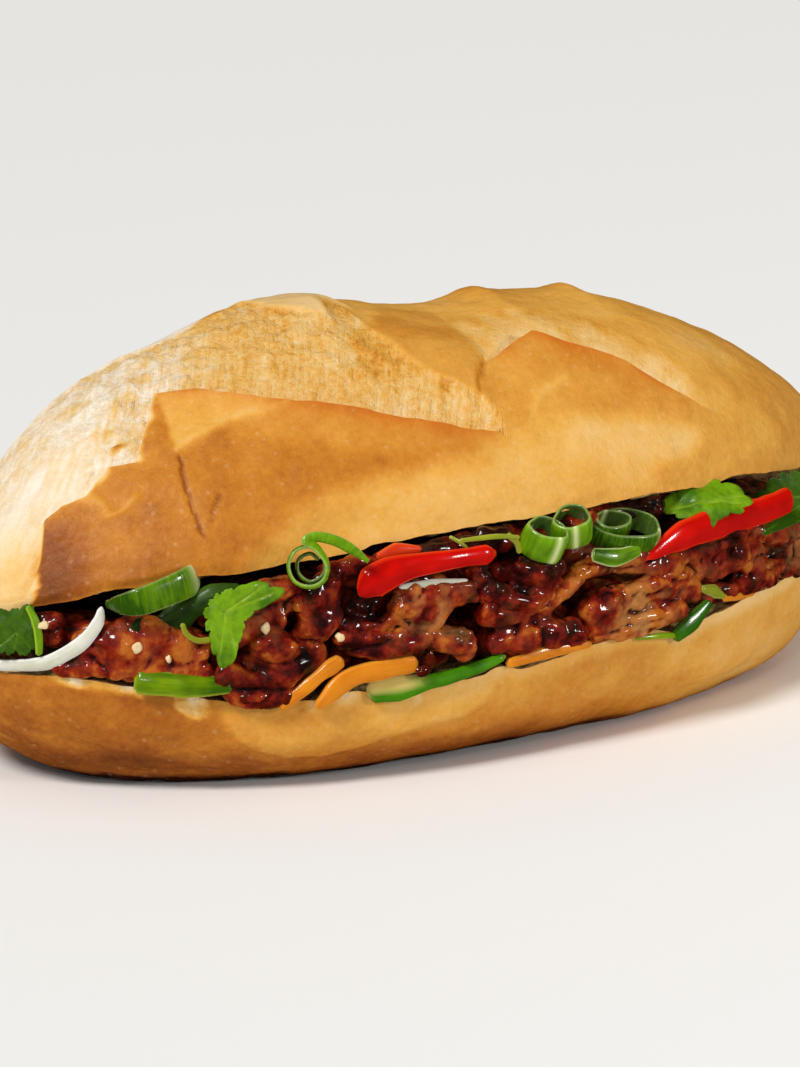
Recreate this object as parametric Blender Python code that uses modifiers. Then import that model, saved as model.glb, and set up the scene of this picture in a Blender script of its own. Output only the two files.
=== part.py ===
"""Banh mi: a crusty roll, slit along its front and hinged at its back, filled with glazed pork and vegetables.

Sizes are millimetres and are turned to metres as each mesh is made. +X runs along the roll, -Y is the open
side, +Z is up, and the table that the roll rests on is z = 0.
"""

import math

import bmesh
import bpy
import numpy as np
from mathutils import Vector, noise

MM = 0.001

# The roll, as baked and before it was opened
ROLL_LENGTH = 196.0
ROLL_WIDTH = 91.0
CUT_HEIGHT = 22.0
BASE_DEPTH = 27.2
LID_HEIGHT = 46.2
WIDTH_TAPER = 2.16
BASE_TAPER = 4.85
LID_TAPER = 2.43
TIP_ROUNDING = 1.56
BASE_SQUARENESS = 2.7
LID_SQUARENESS = 1.8

# How it was opened: the lid turns up about a hinge of uncut bread near the back
HINGE_Y = 33.0
OPENING_DEGREES = 17.3
FOLD_DEGREES = 60.0
LID_SKEW = 0.023
HINGE_SLIT = 1.6
UNCUT_STRIP = 7.0
LIP_SAG = 6.7
LIP_SAG_X = -28.0
LIP_SAG_LENGTH = 39.0
LIP_SAG_START_Y = -10.0
LIP_SAG_BLEND = 8.0

# Mesh steps of the roll: one across the mouth, the rest round the crust of the lid and of the base
LID_STEPS = 36
BASE_STEPS = 19
STEPS_ROUND = 1 + LID_STEPS + BASE_STEPS
STEPS_ALONG = 50
EVEN_SPACING = 0.45
MOUTH_STEPS = 15
MOUTH_REACH = 66.0

# Relief of the crust
CRUST_MM_PER_DEGREE = 0.8
CRUST_NOISE = 0.45
CRUST_NOISE_LENGTH = 17.0

GAP = 0.35
FRONT = Vector((0.0, -1.0, 0.0))
UP = Vector((0.0, 0.0, 1.0))

# Slashes in the lid, in crust coordinates: along the roll, and up the crust from the front lip
SLASHES = (
    {"start": (-67.0, 69.0), "end": (3.0, 20.0), "front": 13.0, "rear": 13.0, "ear": 1.9, "depth": 1.5},
    {"start": (-9.0, 46.0), "end": (54.0, 23.0), "front": 1.0, "rear": 9.5, "ear": 1.7, "depth": 1.2},
)
EAR_WIDTH = 7.0
EAR_EDGE = 2.4
REAR_STEP = 0.7

# Long swells of the lid, each a place along the roll, a half length and a height
SWELLS = ((-33.0, 20.0, 2.3), (-1.0, 13.0, -2.4), (31.0, 17.0, 0.9))
SWELL_START, SWELL_FULL, SWELL_LEAVE, SWELL_END = 34.0, 56.0, 88.0, 118.0

COLOURS = {
    "crust": (0.62, 0.33, 0.10),
    "pork": (0.20, 0.035, 0.015),
    "chili": (0.62, 0.01, 0.008),
    "scallion": (0.12, 0.30, 0.03),
    "herb": (0.09, 0.27, 0.02),
    "onion": (0.80, 0.78, 0.70),
    "carrot": (0.80, 0.27, 0.03),
    "cucumber": (0.16, 0.33, 0.05),
}
ROUGHNESS = {"crust": 0.6, "pork": 0.25, "chili": 0.3}
DEFAULT_ROUGHNESS = 0.4

# Slices of pork: name, middle along the roll, length, lower and upper share of the mouth's height at the
# front, the same two at the back, how far the front face stands in from the crust, and depth front to back
PORK = (
    ("pork_1", -80.0, 22.0, 0.22, 0.82, 0.16, 0.90, 2.6, 34.0),
    ("pork_2", -67.5, 30.0, -0.12, 0.50, 0.03, 0.60, 0.2, 46.0),
    ("pork_3", -47.0, 23.0, 0.38, 0.86, 0.40, 0.97, 0.8, 52.0),
    ("pork_4", -48.0, 25.0, -0.05, 0.52, 0.03, 0.60, -3.5, 50.0),
    ("pork_5", -31.5, 20.0, 0.40, 0.86, 0.40, 0.97, 0.0, 52.0),
    ("pork_6", -22.5, 34.0, 0.02, 0.52, 0.03, 0.60, -0.6, 54.0),
    ("pork_7", -16.0, 21.0, 0.42, 0.84, 0.40, 0.97, 0.8, 52.0),
    ("pork_8", -1.0, 22.0, 0.44, 0.86, 0.40, 0.97, -0.4, 54.0),
    ("pork_9", 2.5, 25.0, -0.08, 0.54, 0.03, 0.60, -1.2, 54.0),
    ("pork_10", 19.0, 27.0, 0.42, 0.86, 0.40, 0.97, 1.0, 52.0),
    ("pork_11", 26.0, 33.0, -0.12, 0.52, 0.03, 0.60, -1.2, 52.0),
    ("pork_12", 43.0, 30.0, 0.36, 0.90, 0.32, 0.97, 0.0, 48.0),
    ("pork_13", 51.5, 27.0, -0.12, 0.48, 0.03, 0.46, 0.4, 44.0),
    ("pork_14", 68.5, 30.0, -0.12, 0.90, 0.04, 0.94, 0.4, 40.0),
)
PORK_BOXINESS = 0.62
PORK_LUMP = 1.5
PORK_LUMP_LENGTH = 9.0
PORK_DETAIL = 2
PORK_CLEARANCE = 5.0

# Cut strips: name, finish, points of the middle line, width at the start, the middle and the end,
# thickness, and the direction of the width
STRIPS = (
    ("chili_1", "chili", ((-34, -43.4, 37.2), (-29.5, -44.4, 39.9), (-18, -46.0, 41.0), (-4.5, -46.4, 41.4)),
     (5.6, 5.0, 2.6), 1.7, (0.1, 0.12, 1.0)),
    ("chili_2", "chili", ((-30.5, -40.6, 41.2), (-25, -41.2, 42.2), (-19, -42.0, 42.2)),
     (2.4, 3.2, 2.2), 1.3, (0.0, 0.1, 1.0)),
    ("chili_3", "chili", ((28.0, -44.4, 34.6), (42.0, -41.6, 36.9), (56.0, -37.2, 37.6), (69.0, -30.4, 36.6)),
     (3.0, 4.6, 3.6), 1.7, (0.0, 0.15, 1.0)),
    ("onion_1", "onion", ((-91.0, -16.4, 24.4), (-86.0, -20.6, 23.9), (-81.3, -24.0, 25.9), (-77.8, -25.9, 30.0),
                          (-76.6, -26.2, 35.0)), (2.0, 3.0, 2.2), 1.1, (-0.35, 0.0, 1.0)),
    ("onion_2", "onion", ((-25.0, -44.4, 36.0), (-18.0, -45.4, 36.6), (-10.5, -45.7, 36.6)),
     (1.2, 2.2, 1.0), 0.9, (0.0, 0.2, 1.0)),
    ("carrot_1", "carrot", ((-35.5, -43.4, 24.6), (-39.5, -43.4, 21.4), (-43.5, -42.2, 18.8)),
     (2.6, 3.2, 2.4), 2.2, (0.5, 0.0, 1.0)),
    ("carrot_2", "carrot", ((-21.5, -45.4, 21.8), (-28.0, -45.2, 20.8), (-34.0, -44.2, 19.4), (-40.5, -43.4, 15.6)),
     (2.2, 3.0, 2.4), 2.2, (0.2, 0.0, 1.0)),
    ("carrot_3", "carrot", ((-3.0, -45.6, 19.8), (5.0, -46.0, 20.6), (14.0, -45.6, 20.9)),
     (1.6, 2.6, 1.6), 2.0, (0.0, 0.2, 1.0)),
    ("carrot_4", "carrot", ((45.5, -39.6, 24.6), (50.5, -38.2, 23.4), (56.5, -36.0, 22.4)),
     (2.0, 2.8, 1.8), 2.0, (0.0, 0.1, 1.0)),
    ("cucumber_1", "cucumber", ((-72.0, -30.2, 21.9), (-63.0, -34.6, 21.3), (-53.0, -38.4, 20.2)),
     (3.0, 4.4, 2.6), 2.0, (0.0, 0.45, 1.0)),
    ("cucumber_2", "cucumber", ((-28.0, -43.0, 17.6), (-17.0, -44.4, 18.6), (-5.0, -44.7, 20.6)),
     (3.0, 5.6, 3.0), 2.0, (0.0, 0.9, 0.45)),
    ("cucumber_3", "cucumber", ((30.0, -45.8, 19.6), (37.0, -44.8, 20.4), (43.5, -42.8, 22.8)),
     (2.4, 4.4, 2.8), 2.0, (0.0, 0.7, 0.7)),
    ("scallion_6", "scallion", ((14.0, -45.2, 34.6), (19.0, -45.8, 33.2), (25.0, -45.4, 33.4)),
     (1.6, 2.8, 1.6), 0.8, (0.0, 0.5, 1.0)),
    ("scallion_7", "scallion", ((60.5, -35.6, 32.6), (68.0, -31.6, 33.6), (76.0, -26.6, 34.2)),
     (1.8, 2.8, 1.8), 0.8, (0.0, 0.3, 1.0)),
)
STRIP_STEPS = 9
STRIP_CROWN = 0.12
STRIP_END = 0.45

# Rings and bows of scallion: name, middle, radius, height of the band, lean of the axis to the front and to
# the right in degrees, first angle and sweep of the bow, and how far it is squashed front to back
RINGS = (
    ("scallion_1", (-66.3, -24.4, 35.4), 8.0, 5.0, 2.0, -8.0, 190.0, 170.0, 0.95),
    ("scallion_3", (3.4, -44.0, 39.6), 5.2, 5.0, 28.0, 20.0, 0.0, 360.0, 0.80),
    ("scallion_4", (14.2, -42.6, 40.6), 4.2, 4.4, 24.0, -16.0, 0.0, 360.0, 0.85),
    ("scallion_5", (26.2, -40.8, 40.0), 6.6, 3.4, 22.0, 6.0, 0.0, 360.0, 0.72),
)
RING_THICKNESS = 0.9
RING_STEPS = 20

# The curl of scallion: turns of a spiral that ends in a straight tail
CURL_NAME = "scallion_2"
CURL_MIDDLE = (-42.2, -43.2, 41.2)
CURL_RADIUS = 3.7
CURL_GROWTH = 1.0
CURL_START, CURL_TURN = 40.0, 500.0
CURL_TAIL = 7.0
CURL_BAND, CURL_THICKNESS, CURL_STEPS = 2.6, 0.7, 26

# Leaves: name, middle, radius, lobes, the way the leaf faces, turn about that, and depth of the lobes
LEAVES = (
    ("leaf_1", (-54.4, -40.6, 33.4), 7.6, 5, (-0.15, -1.0, 0.25), 25.0, 0.42),
    ("leaf_2", (45.6, -44.6, 40.6), 9.2, 5, (0.05, -0.9, 0.75), -10.0, 0.30),
    ("leaf_3", (-87.0, -21.2, 31.2), 5.0, 4, (-0.5, -1.0, 0.15), 70.0, 0.38),
    ("leaf_4", (66.0, -37.2, 41.0), 8.0, 5, (0.25, -1.0, 0.5), 20.0, 0.34),
)
LEAF_THICKNESS = 0.5
LEAF_STEPS = 25
LEAF_WAVE = 0.9

# Stalks of the herbs: name and points of the middle line
STALKS = (
    ("stalk_1", ((-13.0, -44.8, 44.0), (-7.0, -46.8, 44.2), (-1.6, -48.4, 43.8))),
    ("stalk_2", ((-58.5, -38.4, 29.0), (-61.5, -37.6, 28.6), (-64.5, -35.6, 30.6))),
)
STALK_RADIUS = 0.55


def smooth(low, high, value):
    """0 below low, 1 above high, and a smooth step between them."""
    share = np.clip((value - low) / (high - low), 0.0, 1.0)
    return share * share * (3.0 - 2.0 * share)


def taper(x, power):
    """How much of its middle size the roll keeps at each place along it."""
    share = np.clip(np.abs(x) / (ROLL_LENGTH / 2), 0.0, 1.0)
    return np.clip(1.0 - share**power, 0.0, None) ** (1.0 / TIP_ROUNDING)


def half_width(x):
    return ROLL_WIDTH / 2 * taper(x, WIDTH_TAPER)


def mouth_end(x):
    """How far back the slit goes: to the hinge, and near the tips to a strip of bread that stays uncut."""
    return np.minimum(HINGE_Y, half_width(x) - UNCUT_STRIP)


def base_cut(x, y):
    """Height of the lower cut face, whose front lip the filling presses down."""
    front = 1.0 / (1.0 + np.exp((y - LIP_SAG_START_Y) / LIP_SAG_BLEND))
    return CUT_HEIGHT - LIP_SAG * np.exp(-(((x - LIP_SAG_X) / LIP_SAG_LENGTH) ** 2)) * front


def lid_cut(x, y):
    """Height of the upper cut face, which rises from the hinge to the front."""
    return CUT_HEIGHT + (HINGE_Y - y) * math.tan(math.radians(OPENING_DEGREES)) + LID_SKEW * x


def slash_relief(x, up, slash):
    """Height of one burst slash: an ear of lifted crust along its front edge and a shallow bed behind it."""
    start, end = np.array(slash["start"]), np.array(slash["end"])
    chord = end - start
    length = float(np.hypot(*chord))
    along = chord / length
    across = np.array((-along[1], along[0]))
    share = ((x - start[0]) * along[0] + (up - start[1]) * along[1]) / length
    side = (x - start[0]) * across[0] + (up - start[1]) * across[1]
    lens = np.sin(np.pi * np.clip(share, 0.0, 1.0)) ** 0.7
    front, rear = -slash["front"] * lens, slash["rear"] * lens
    inside = smooth(front - EAR_EDGE / 2, front + EAR_EDGE / 2, side)
    behind = smooth(rear - EAR_EDGE, rear + EAR_EDGE, side)
    ear = slash["ear"] * np.exp(-np.clip(front - side, 0.0, None) / EAR_WIDTH) * (1.0 - inside)
    bed = -slash["depth"] * inside * (1.0 - behind)
    step = REAR_STEP * behind * np.exp(-np.clip(side - rear, 0.0, None) / EAR_WIDTH)
    return lens * (ear + bed + step)


def uneven(x, y, z, wavelength, height):
    """Smooth unevenness of a surface, the same on each run."""
    values = [noise.noise(Vector(point) / wavelength) for point in zip(x, y, z)]
    return height * np.array(values)


def lid_relief(x, degrees):
    """Height of the lid's crust over its smooth form."""
    up = CRUST_MM_PER_DEGREE * degrees
    swell = sum(height * np.exp(-(((x - middle) / reach) ** 2)) for middle, reach, height in SWELLS)
    swell *= smooth(SWELL_START, SWELL_FULL, up) * (1.0 - smooth(SWELL_LEAVE, SWELL_END, up))
    return swell + sum(slash_relief(x, up, slash) for slash in SLASHES)


def section(x, degrees, depth, squareness, relief):
    """Points of half the closed roll's section, from the front lip (0 degrees) round to the back (180)."""
    turn = np.radians(degrees)
    cosine, sine = np.cos(turn), np.sin(turn)
    wide, tall = half_width(x), depth
    y = -wide * np.sign(cosine) * np.abs(cosine) ** (2.0 / squareness)
    z = tall * np.abs(sine) ** (2.0 / squareness)
    normal_y, normal_z = -cosine / np.maximum(wide, 1.0), sine / np.maximum(tall, 1.0)
    size = np.maximum(np.hypot(normal_y, normal_z), 1e-9)
    fade = smooth(0.0, 9.0, degrees) * (1.0 - smooth(165.0, 180.0, degrees)) * smooth(0.0, 9.0, wide)
    return y + relief * fade * normal_y / size, z + relief * fade * normal_z / size


def lid_surface(x, degrees):
    """Points of the lid's crust once it has turned up about the hinge."""
    relief = lid_relief(x, degrees) + uneven(x, degrees * CRUST_MM_PER_DEGREE, x * 0.0, CRUST_NOISE_LENGTH, CRUST_NOISE)
    y, z = section(x, degrees, LID_HEIGHT * taper(x, LID_TAPER), LID_SQUARENESS, relief)
    reach = np.hypot(y - HINGE_Y, z)
    angle = np.arctan2(z, y - HINGE_Y)
    angle = angle - math.radians(OPENING_DEGREES) * smooth(0.0, math.radians(FOLD_DEGREES), angle)
    return HINGE_Y + reach * np.cos(angle), CUT_HEIGHT + reach * np.sin(angle) + LID_SKEW * x


def base_surface(x, degrees):
    """Points of the base's crust, flat where it rests on the table and pressed down along its front lip."""
    relief = uneven(x, -degrees * CRUST_MM_PER_DEGREE, x * 0.0, CRUST_NOISE_LENGTH, CRUST_NOISE)
    y, drop = section(x, degrees, BASE_DEPTH * taper(x, BASE_TAPER), BASE_SQUARENESS, relief)
    z = np.maximum(CUT_HEIGHT - drop, 0.0)
    return y, z - (CUT_HEIGHT - base_cut(x, y)) * (z / CUT_HEIGHT)


def set_points(mesh_data, points):
    """Moves the mesh's vertices to points in millimetres."""
    mesh_data.vertices.foreach_set("co", (np.asarray(points, float) * MM).ravel())
    mesh_data.update()


def points_of(mesh_data):
    points = np.empty(len(mesh_data.vertices) * 3)
    mesh_data.vertices.foreach_get("co", points)
    return points.reshape(-1, 3)


def make_material(name):
    material = bpy.data.materials.new(name)
    material.use_nodes = True
    shader = material.node_tree.nodes["Principled BSDF"]
    shader.inputs["Base Color"].default_value = (*COLOURS[name], 1.0)
    shader.inputs["Roughness"].default_value = ROUGHNESS.get(name, DEFAULT_ROUGHNESS)
    shader.inputs["Metallic"].default_value = 0.0
    return material


def make_object(name, form, finish, collection):
    """A named object in its collection from a filled bmesh, with smooth faces and its finish."""
    data = bpy.data.meshes.new(name)
    bmesh.ops.recalc_face_normals(form, faces=form.faces[:])
    form.to_mesh(data)
    form.free()
    made = bpy.data.objects.new(name, data)
    collection.objects.link(made)
    if finish:
        data.materials.append(bpy.data.materials.get(finish) or make_material(finish))
    return made


def apply_modifiers(target):
    """Turns an object's modifiers into its mesh."""
    graph = bpy.context.evaluated_depsgraph_get()
    done = bpy.data.meshes.new_from_object(target.evaluated_get(graph))
    target.modifiers.clear()
    target.data = done


def cut_with(target, cutter, solver="EXACT"):
    """Takes the cutter's volume out of the target."""
    cut = target.modifiers.new("cut", "BOOLEAN")
    cut.operation = "DIFFERENCE"
    cut.solver = solver
    cut.object = cutter
    bpy.context.view_layer.update()
    apply_modifiers(target)


def make_opened_roll(parts):
    """The whole roll with its lid turned up, closed across the mouth, from a sphere whose poles are the tips."""
    form = bmesh.new()
    bmesh.ops.create_uvsphere(form, u_segments=STEPS_ROUND, v_segments=STEPS_ALONG, radius=1.0)
    roll = make_object("bread_roll", form, "crust", parts)
    sphere = points_of(roll.data)
    height = np.clip(sphere[:, 2], -1.0, 1.0)
    even = 1.0 - 2.0 * np.arccos(height) / math.pi
    x = ROLL_LENGTH / 2 * (height + EVEN_SPACING * (even - height))
    # Step 0 is the middle of the mouth, the next ones go up and over the lid, and the last ones back under the base
    step = np.rint(np.arctan2(sphere[:, 1], sphere[:, 0]) / (2 * math.pi / STEPS_ROUND)) % STEPS_ROUND
    degrees = np.where(step <= LID_STEPS, (step - 1) / (LID_STEPS - 1), (STEPS_ROUND - 1 - step) / BASE_STEPS)
    degrees = 180.0 * np.clip(degrees, 0.0, 1.0)
    lid_y, lid_z = lid_surface(x, degrees)
    base_y, base_z = base_surface(x, degrees)
    share = np.where(step <= LID_STEPS, 1.0, 0.0)
    share[(np.abs(height) > 0.99999) | (step == 0)] = 0.5
    points = np.stack([x, base_y + share * (lid_y - base_y), base_z + share * (lid_z - base_z)], axis=1)
    set_points(roll.data, points)
    fix_normals(roll)
    return roll


def fix_normals(target):
    form = bmesh.new()
    form.from_mesh(target.data)
    bmesh.ops.recalc_face_normals(form, faces=form.faces[:])
    form.to_mesh(target.data)
    form.free()


def make_mouth(helpers):
    """The slit that the filling lies in, as a solid: a wedge from the hinge out past the front lips."""
    reach = MOUTH_REACH + HINGE_Y
    form = bmesh.new()
    bmesh.ops.create_cube(form, size=2.0)
    bmesh.ops.subdivide_edges(form, edges=form.edges[:], cuts=MOUTH_STEPS, use_grid_fill=True)
    mouth = make_object("mouth_cutter", form, None, helpers)
    cube = points_of(mouth.data)
    x = cube[:, 0] * (ROLL_LENGTH / 2 + 8.0)
    y = mouth_end(x) - (cube[:, 1] + 1.0) / 2 * reach
    low, high = base_cut(x, y) - HINGE_SLIT / 2, lid_cut(x, y) + HINGE_SLIT / 2
    set_points(mouth.data, np.stack([x, y, low + (cube[:, 2] + 1.0) / 2 * (high - low)], axis=1))
    fix_normals(mouth)
    mouth.hide_render = True
    mouth.display_type = "WIRE"
    return mouth


def make_pork(row, number, parts):
    """A slice of pork as a lumpy round-edged block that follows the wedge between the two cut faces."""
    name, middle, length, low_front, high_front, low_back, high_back, inset, depth = row
    form = bmesh.new()
    bmesh.ops.create_icosphere(form, subdivisions=PORK_DETAIL, radius=1.0)
    meat = make_object(name, form, "pork", parts)
    ball = points_of(meat.data)
    boxy = np.sign(ball) * np.abs(ball) ** PORK_BOXINESS
    boxy /= np.maximum(np.linalg.norm(boxy, axis=1, keepdims=True), 1e-9) ** 0.35
    x = middle + boxy[:, 0] * length / 2
    back = (boxy[:, 1] + 1.0) / 2
    front_y = -half_width(np.clip(x, -90.0, 90.0)) + inset
    y = front_y + back * np.minimum(depth, mouth_end(x) - PORK_CLEARANCE - front_y)
    share_low = low_front + (low_back - low_front) * smooth(0.0, 0.5, back)
    share_high = high_front + (high_back - high_front) * smooth(0.0, 0.5, back)
    share = share_low + (share_high - share_low) * (boxy[:, 2] + 1.0) / 2
    floor, ceiling = base_cut(x, y) + GAP, lid_cut(x, y) - GAP
    z = floor + share * (ceiling - floor)
    lump = uneven(x + 31.0 * number, y, z, PORK_LUMP_LENGTH, PORK_LUMP)
    points = np.stack([x, y, z], axis=1) + ball * lump[:, None]
    points[:, 2] = np.clip(points[:, 2], base_cut(points[:, 0], points[:, 1]) + GAP,
                           lid_cut(points[:, 0], points[:, 1]) - GAP)
    set_points(meat.data, points)
    fix_normals(meat)
    return meat


def spline(points, shares):
    """Places on a smooth curve through the points, at shares of its way."""
    points = np.array(points, float)
    padded = np.vstack([2 * points[0] - points[1], points, 2 * points[-1] - points[-2]])
    place = np.clip(np.asarray(shares), 0.0, 1.0) * (len(points) - 1)
    first = np.minimum(place.astype(int), len(points) - 2)
    t = (place - first)[:, None]
    a, b, c, d = (padded[first + k] for k in range(4))
    return 0.5 * (2 * b + (c - a) * t + (2 * a - 5 * b + 4 * c - d) * t**2 + (3 * b - a - 3 * c + d) * t**3)


def unit(vectors):
    return vectors / np.maximum(np.linalg.norm(vectors, axis=-1, keepdims=True), 1e-9)


def thicken(target, thickness):
    """Gives a surface its thickness, half to each side, with both faces split alike."""
    form = bmesh.new()
    form.from_mesh(target.data)
    bmesh.ops.triangulate(form, faces=form.faces[:])
    bmesh.ops.recalc_face_normals(form, faces=form.faces[:])
    form.to_mesh(target.data)
    form.free()
    shell = target.modifiers.new("thickness", "SOLIDIFY")
    shell.thickness = thickness * MM
    shell.offset = 0.0


def make_grid(name, along, across, finish, parts):
    """A flat grid, as an object and its vertices' shares of the way along and across."""
    form = bmesh.new()
    bmesh.ops.create_grid(form, x_segments=along, y_segments=across, size=1.0)
    made = make_object(name, form, finish, parts)
    places = points_of(made.data)
    return made, (places[:, 0] + 1.0) / 2, places[:, 1]


def make_strip(row, parts):
    """A cut strip of vegetable: a ribbon along a curve, slightly crowned, with rounded ends."""
    name, finish, points, widths, thickness, direction = row
    strip, along, across = make_grid(name, STRIP_STEPS, 2, finish, parts)
    middle = spline(points, along)
    forward = unit(spline(points, np.minimum(along + 0.01, 1.0)) - spline(points, np.maximum(along - 0.01, 0.0)))
    side = np.array(direction, float) + 0.0 * middle
    side = unit(side - (side * forward).sum(axis=1, keepdims=True) * forward)
    facing = np.cross(forward, side)
    facing *= np.where(facing[:, 1:2] > 0.0, -1.0, 1.0)
    start, centre, end = widths
    width = np.interp(along, (0.0, 0.5, 1.0), (start, centre, end))
    width *= STRIP_END + (1.0 - STRIP_END) * (1.0 - np.abs(2.0 * along - 1.0) ** 8)
    place = middle + side * (across * width / 2)[:, None]
    place += facing * (STRIP_CROWN * width * (1.0 - across**2))[:, None]
    set_points(strip.data, place)
    thicken(strip, thickness)
    return strip


def make_ring(row, parts):
    """A ring or bow of scallion: a band round a leaning axis."""
    name, middle, radius, height, lean_front, lean_right, first, sweep, squash = row
    if sweep >= 360.0:
        form = bmesh.new()
        bmesh.ops.create_cone(form, cap_ends=False, segments=RING_STEPS, radius1=1.0, radius2=1.0, depth=2.0)
        ring = make_object(name, form, "scallion", parts)
        local = points_of(ring.data)
        turn, level = np.arctan2(local[:, 1], local[:, 0]), local[:, 2]
    else:
        ring, along, level = make_grid(name, RING_STEPS * 2 // 3, 2, "scallion", parts)
        turn = np.radians(first + sweep * along)
    place = np.stack([radius * np.cos(turn), squash * radius * np.sin(turn), level * height / 2], axis=1)
    place = place @ lean(lean_front, lean_right).T + np.array(middle, float)
    set_points(ring.data, place)
    thicken(ring, RING_THICKNESS)
    return ring


def lean(front_degrees, right_degrees):
    """Rotation that tips the upright axis towards the front and then to the right."""
    a, b = math.radians(front_degrees), math.radians(right_degrees)
    about_x = np.array([[1, 0, 0], [0, math.cos(a), -math.sin(a)], [0, math.sin(a), math.cos(a)]])
    about_y = np.array([[math.cos(b), 0, math.sin(b)], [0, 1, 0], [-math.sin(b), 0, math.cos(b)]])
    return about_y @ about_x


def make_curl(parts):
    """A narrow curl of scallion: a spiral in the upright plane with a tail that falls to the right."""
    curl, along, across = make_grid(CURL_NAME, CURL_STEPS, 2, "scallion", parts)
    tail_share = 0.18
    on_spiral = np.clip(along / (1.0 - tail_share), 0.0, 1.0)
    turn = np.radians(CURL_START + CURL_TURN - CURL_TURN * on_spiral)
    radius = CURL_RADIUS + CURL_GROWTH * on_spiral
    tail = np.clip((along - 1.0 + tail_share) / tail_share, 0.0, 1.0) * CURL_TAIL
    end_turn = math.radians(CURL_START)
    x = radius * np.cos(turn) + tail * math.sin(end_turn)
    z = radius * np.sin(turn) - tail * math.cos(end_turn)
    y = across * CURL_BAND / 2 - 2.6 * on_spiral
    set_points(curl.data, np.stack([x, y, z], axis=1) + np.array(CURL_MIDDLE, float))
    thicken(curl, CURL_THICKNESS)
    return curl


def make_leaf(row, number, parts):
    """A wavy lobed leaf: the upper half of a sphere laid flat, its rim drawn out into lobes."""
    name, middle, radius, lobes, facing, turn, depth = row
    form = bmesh.new()
    bmesh.ops.create_uvsphere(form, u_segments=LEAF_STEPS, v_segments=6, radius=1.0)
    lower = [vertex for vertex in form.verts if vertex.co.z < -1e-4]
    bmesh.ops.delete(form, geom=lower, context="VERTS")
    leaf = make_object(name, form, "herb", parts)
    local = points_of(leaf.data)
    angle = np.arctan2(local[:, 1], local[:, 0])
    out = np.clip(np.arccos(np.clip(local[:, 2], -1.0, 1.0)) / (math.pi / 2), 0.0, 1.0)
    rim = 1.0 - depth * (0.5 - 0.5 * np.cos(lobes * angle)) + 0.10 * np.cos(3 * lobes * angle + number)
    x, y = radius * out * rim * np.cos(angle), radius * out * rim * np.sin(angle)
    wave = LEAF_WAVE * out**2 * np.sin(lobes * angle * 0.5 + number) + 0.10 * LEAF_WAVE * x
    normal = Vector(facing).normalized()
    turned = normal.to_track_quat("Z", "Y").to_matrix()
    spin = math.radians(turn)
    plane_x, plane_y = x * math.cos(spin) - y * math.sin(spin), x * math.sin(spin) + y * math.cos(spin)
    place = np.stack([plane_x, plane_y, wave], axis=1) @ np.array(turned).T + np.array(middle, float)
    set_points(leaf.data, place)
    thicken(leaf, LEAF_THICKNESS)
    return leaf


def make_stalk(row, parts):
    """A thin herb stalk, as a capped tube along a curve."""
    name, points = row
    path = bpy.data.curves.new(name, "CURVE")
    path.dimensions = "3D"
    path.bevel_depth = STALK_RADIUS * MM
    path.bevel_resolution = 1
    path.use_fill_caps = True
    line = path.splines.new("POLY")
    places = spline(points, np.linspace(0.0, 1.0, 7))
    line.points.add(len(places) - 1)
    for point, place in zip(line.points, places):
        point.co = (*(place * MM), 1.0)
    tube = bpy.data.objects.new(name, path)
    parts.objects.link(tube)
    bpy.context.view_layer.update()
    solid = bpy.data.meshes.new_from_object(tube.evaluated_get(bpy.context.evaluated_depsgraph_get()))
    bpy.data.objects.remove(tube)
    form = bmesh.new()
    form.from_mesh(solid)
    bmesh.ops.remove_doubles(form, verts=form.verts[:], dist=0.02 * MM)
    bpy.data.meshes.remove(solid)
    return make_object(name, form, "herb", parts)


def swollen_copy(source, helpers):
    """A helper of an object's form, grown by the gap that touching pieces keep."""
    graph = bpy.context.evaluated_depsgraph_get()
    data = bpy.data.meshes.new_from_object(source.evaluated_get(graph))
    form = bmesh.new()
    form.from_mesh(data)
    form.normal_update()
    moved = [vertex.co + vertex.normal * GAP * MM * 1.25 for vertex in form.verts]
    for vertex, place in zip(form.verts, moved):
        vertex.co = place
    form.to_mesh(data)
    form.free()
    grown = bpy.data.objects.new(source.name + "_room", data)
    grown.hide_render = True
    grown.display_type = "WIRE"
    helpers.objects.link(grown)
    return grown


def box_of(target):
    graph = bpy.context.evaluated_depsgraph_get()
    corners = np.array([tuple(corner) for corner in target.evaluated_get(graph).bound_box])
    return corners.min(axis=0), corners.max(axis=0)


def boxes_meet(first, second):
    (low_a, high_a), (low_b, high_b) = box_of(first), box_of(second)
    return bool((low_a < high_b).all() and (low_b < high_a).all())


def keep_largest_island(target):
    """Drops the scraps that a cut leaves loose."""
    form = bmesh.new()
    form.from_mesh(target.data)
    unseen = set(form.verts)
    islands = []
    while unseen:
        stack = [unseen.pop()]
        island = list(stack)
        while stack:
            for edge in stack.pop().link_edges:
                for vertex in edge.verts:
                    if vertex in unseen:
                        unseen.remove(vertex)
                        stack.append(vertex)
                        island.append(vertex)
        islands.append(island)
    islands.sort(key=len)
    scraps = [vertex for island in islands[:-1] for vertex in island]
    bmesh.ops.delete(form, geom=scraps, context="VERTS")
    form.to_mesh(target.data)
    form.free()


def make_room(soft, firm, helpers):
    """Cuts away from a soft piece the room that firmer neighbours take."""
    for other in firm:
        if boxes_meet(soft, other):
            room = swollen_copy(other, helpers)
            cut_with(soft, room)
            bpy.data.objects.remove(room)
    keep_largest_island(soft)


def new_collection(name):
    collection = bpy.data.collections.new(name)
    bpy.context.scene.collection.children.link(collection)
    return collection


def shade(target):
    if target.type == "MESH":
        target.data.shade_smooth()
        target.data.set_sharp_from_angle(angle=math.radians(40.0))


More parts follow.
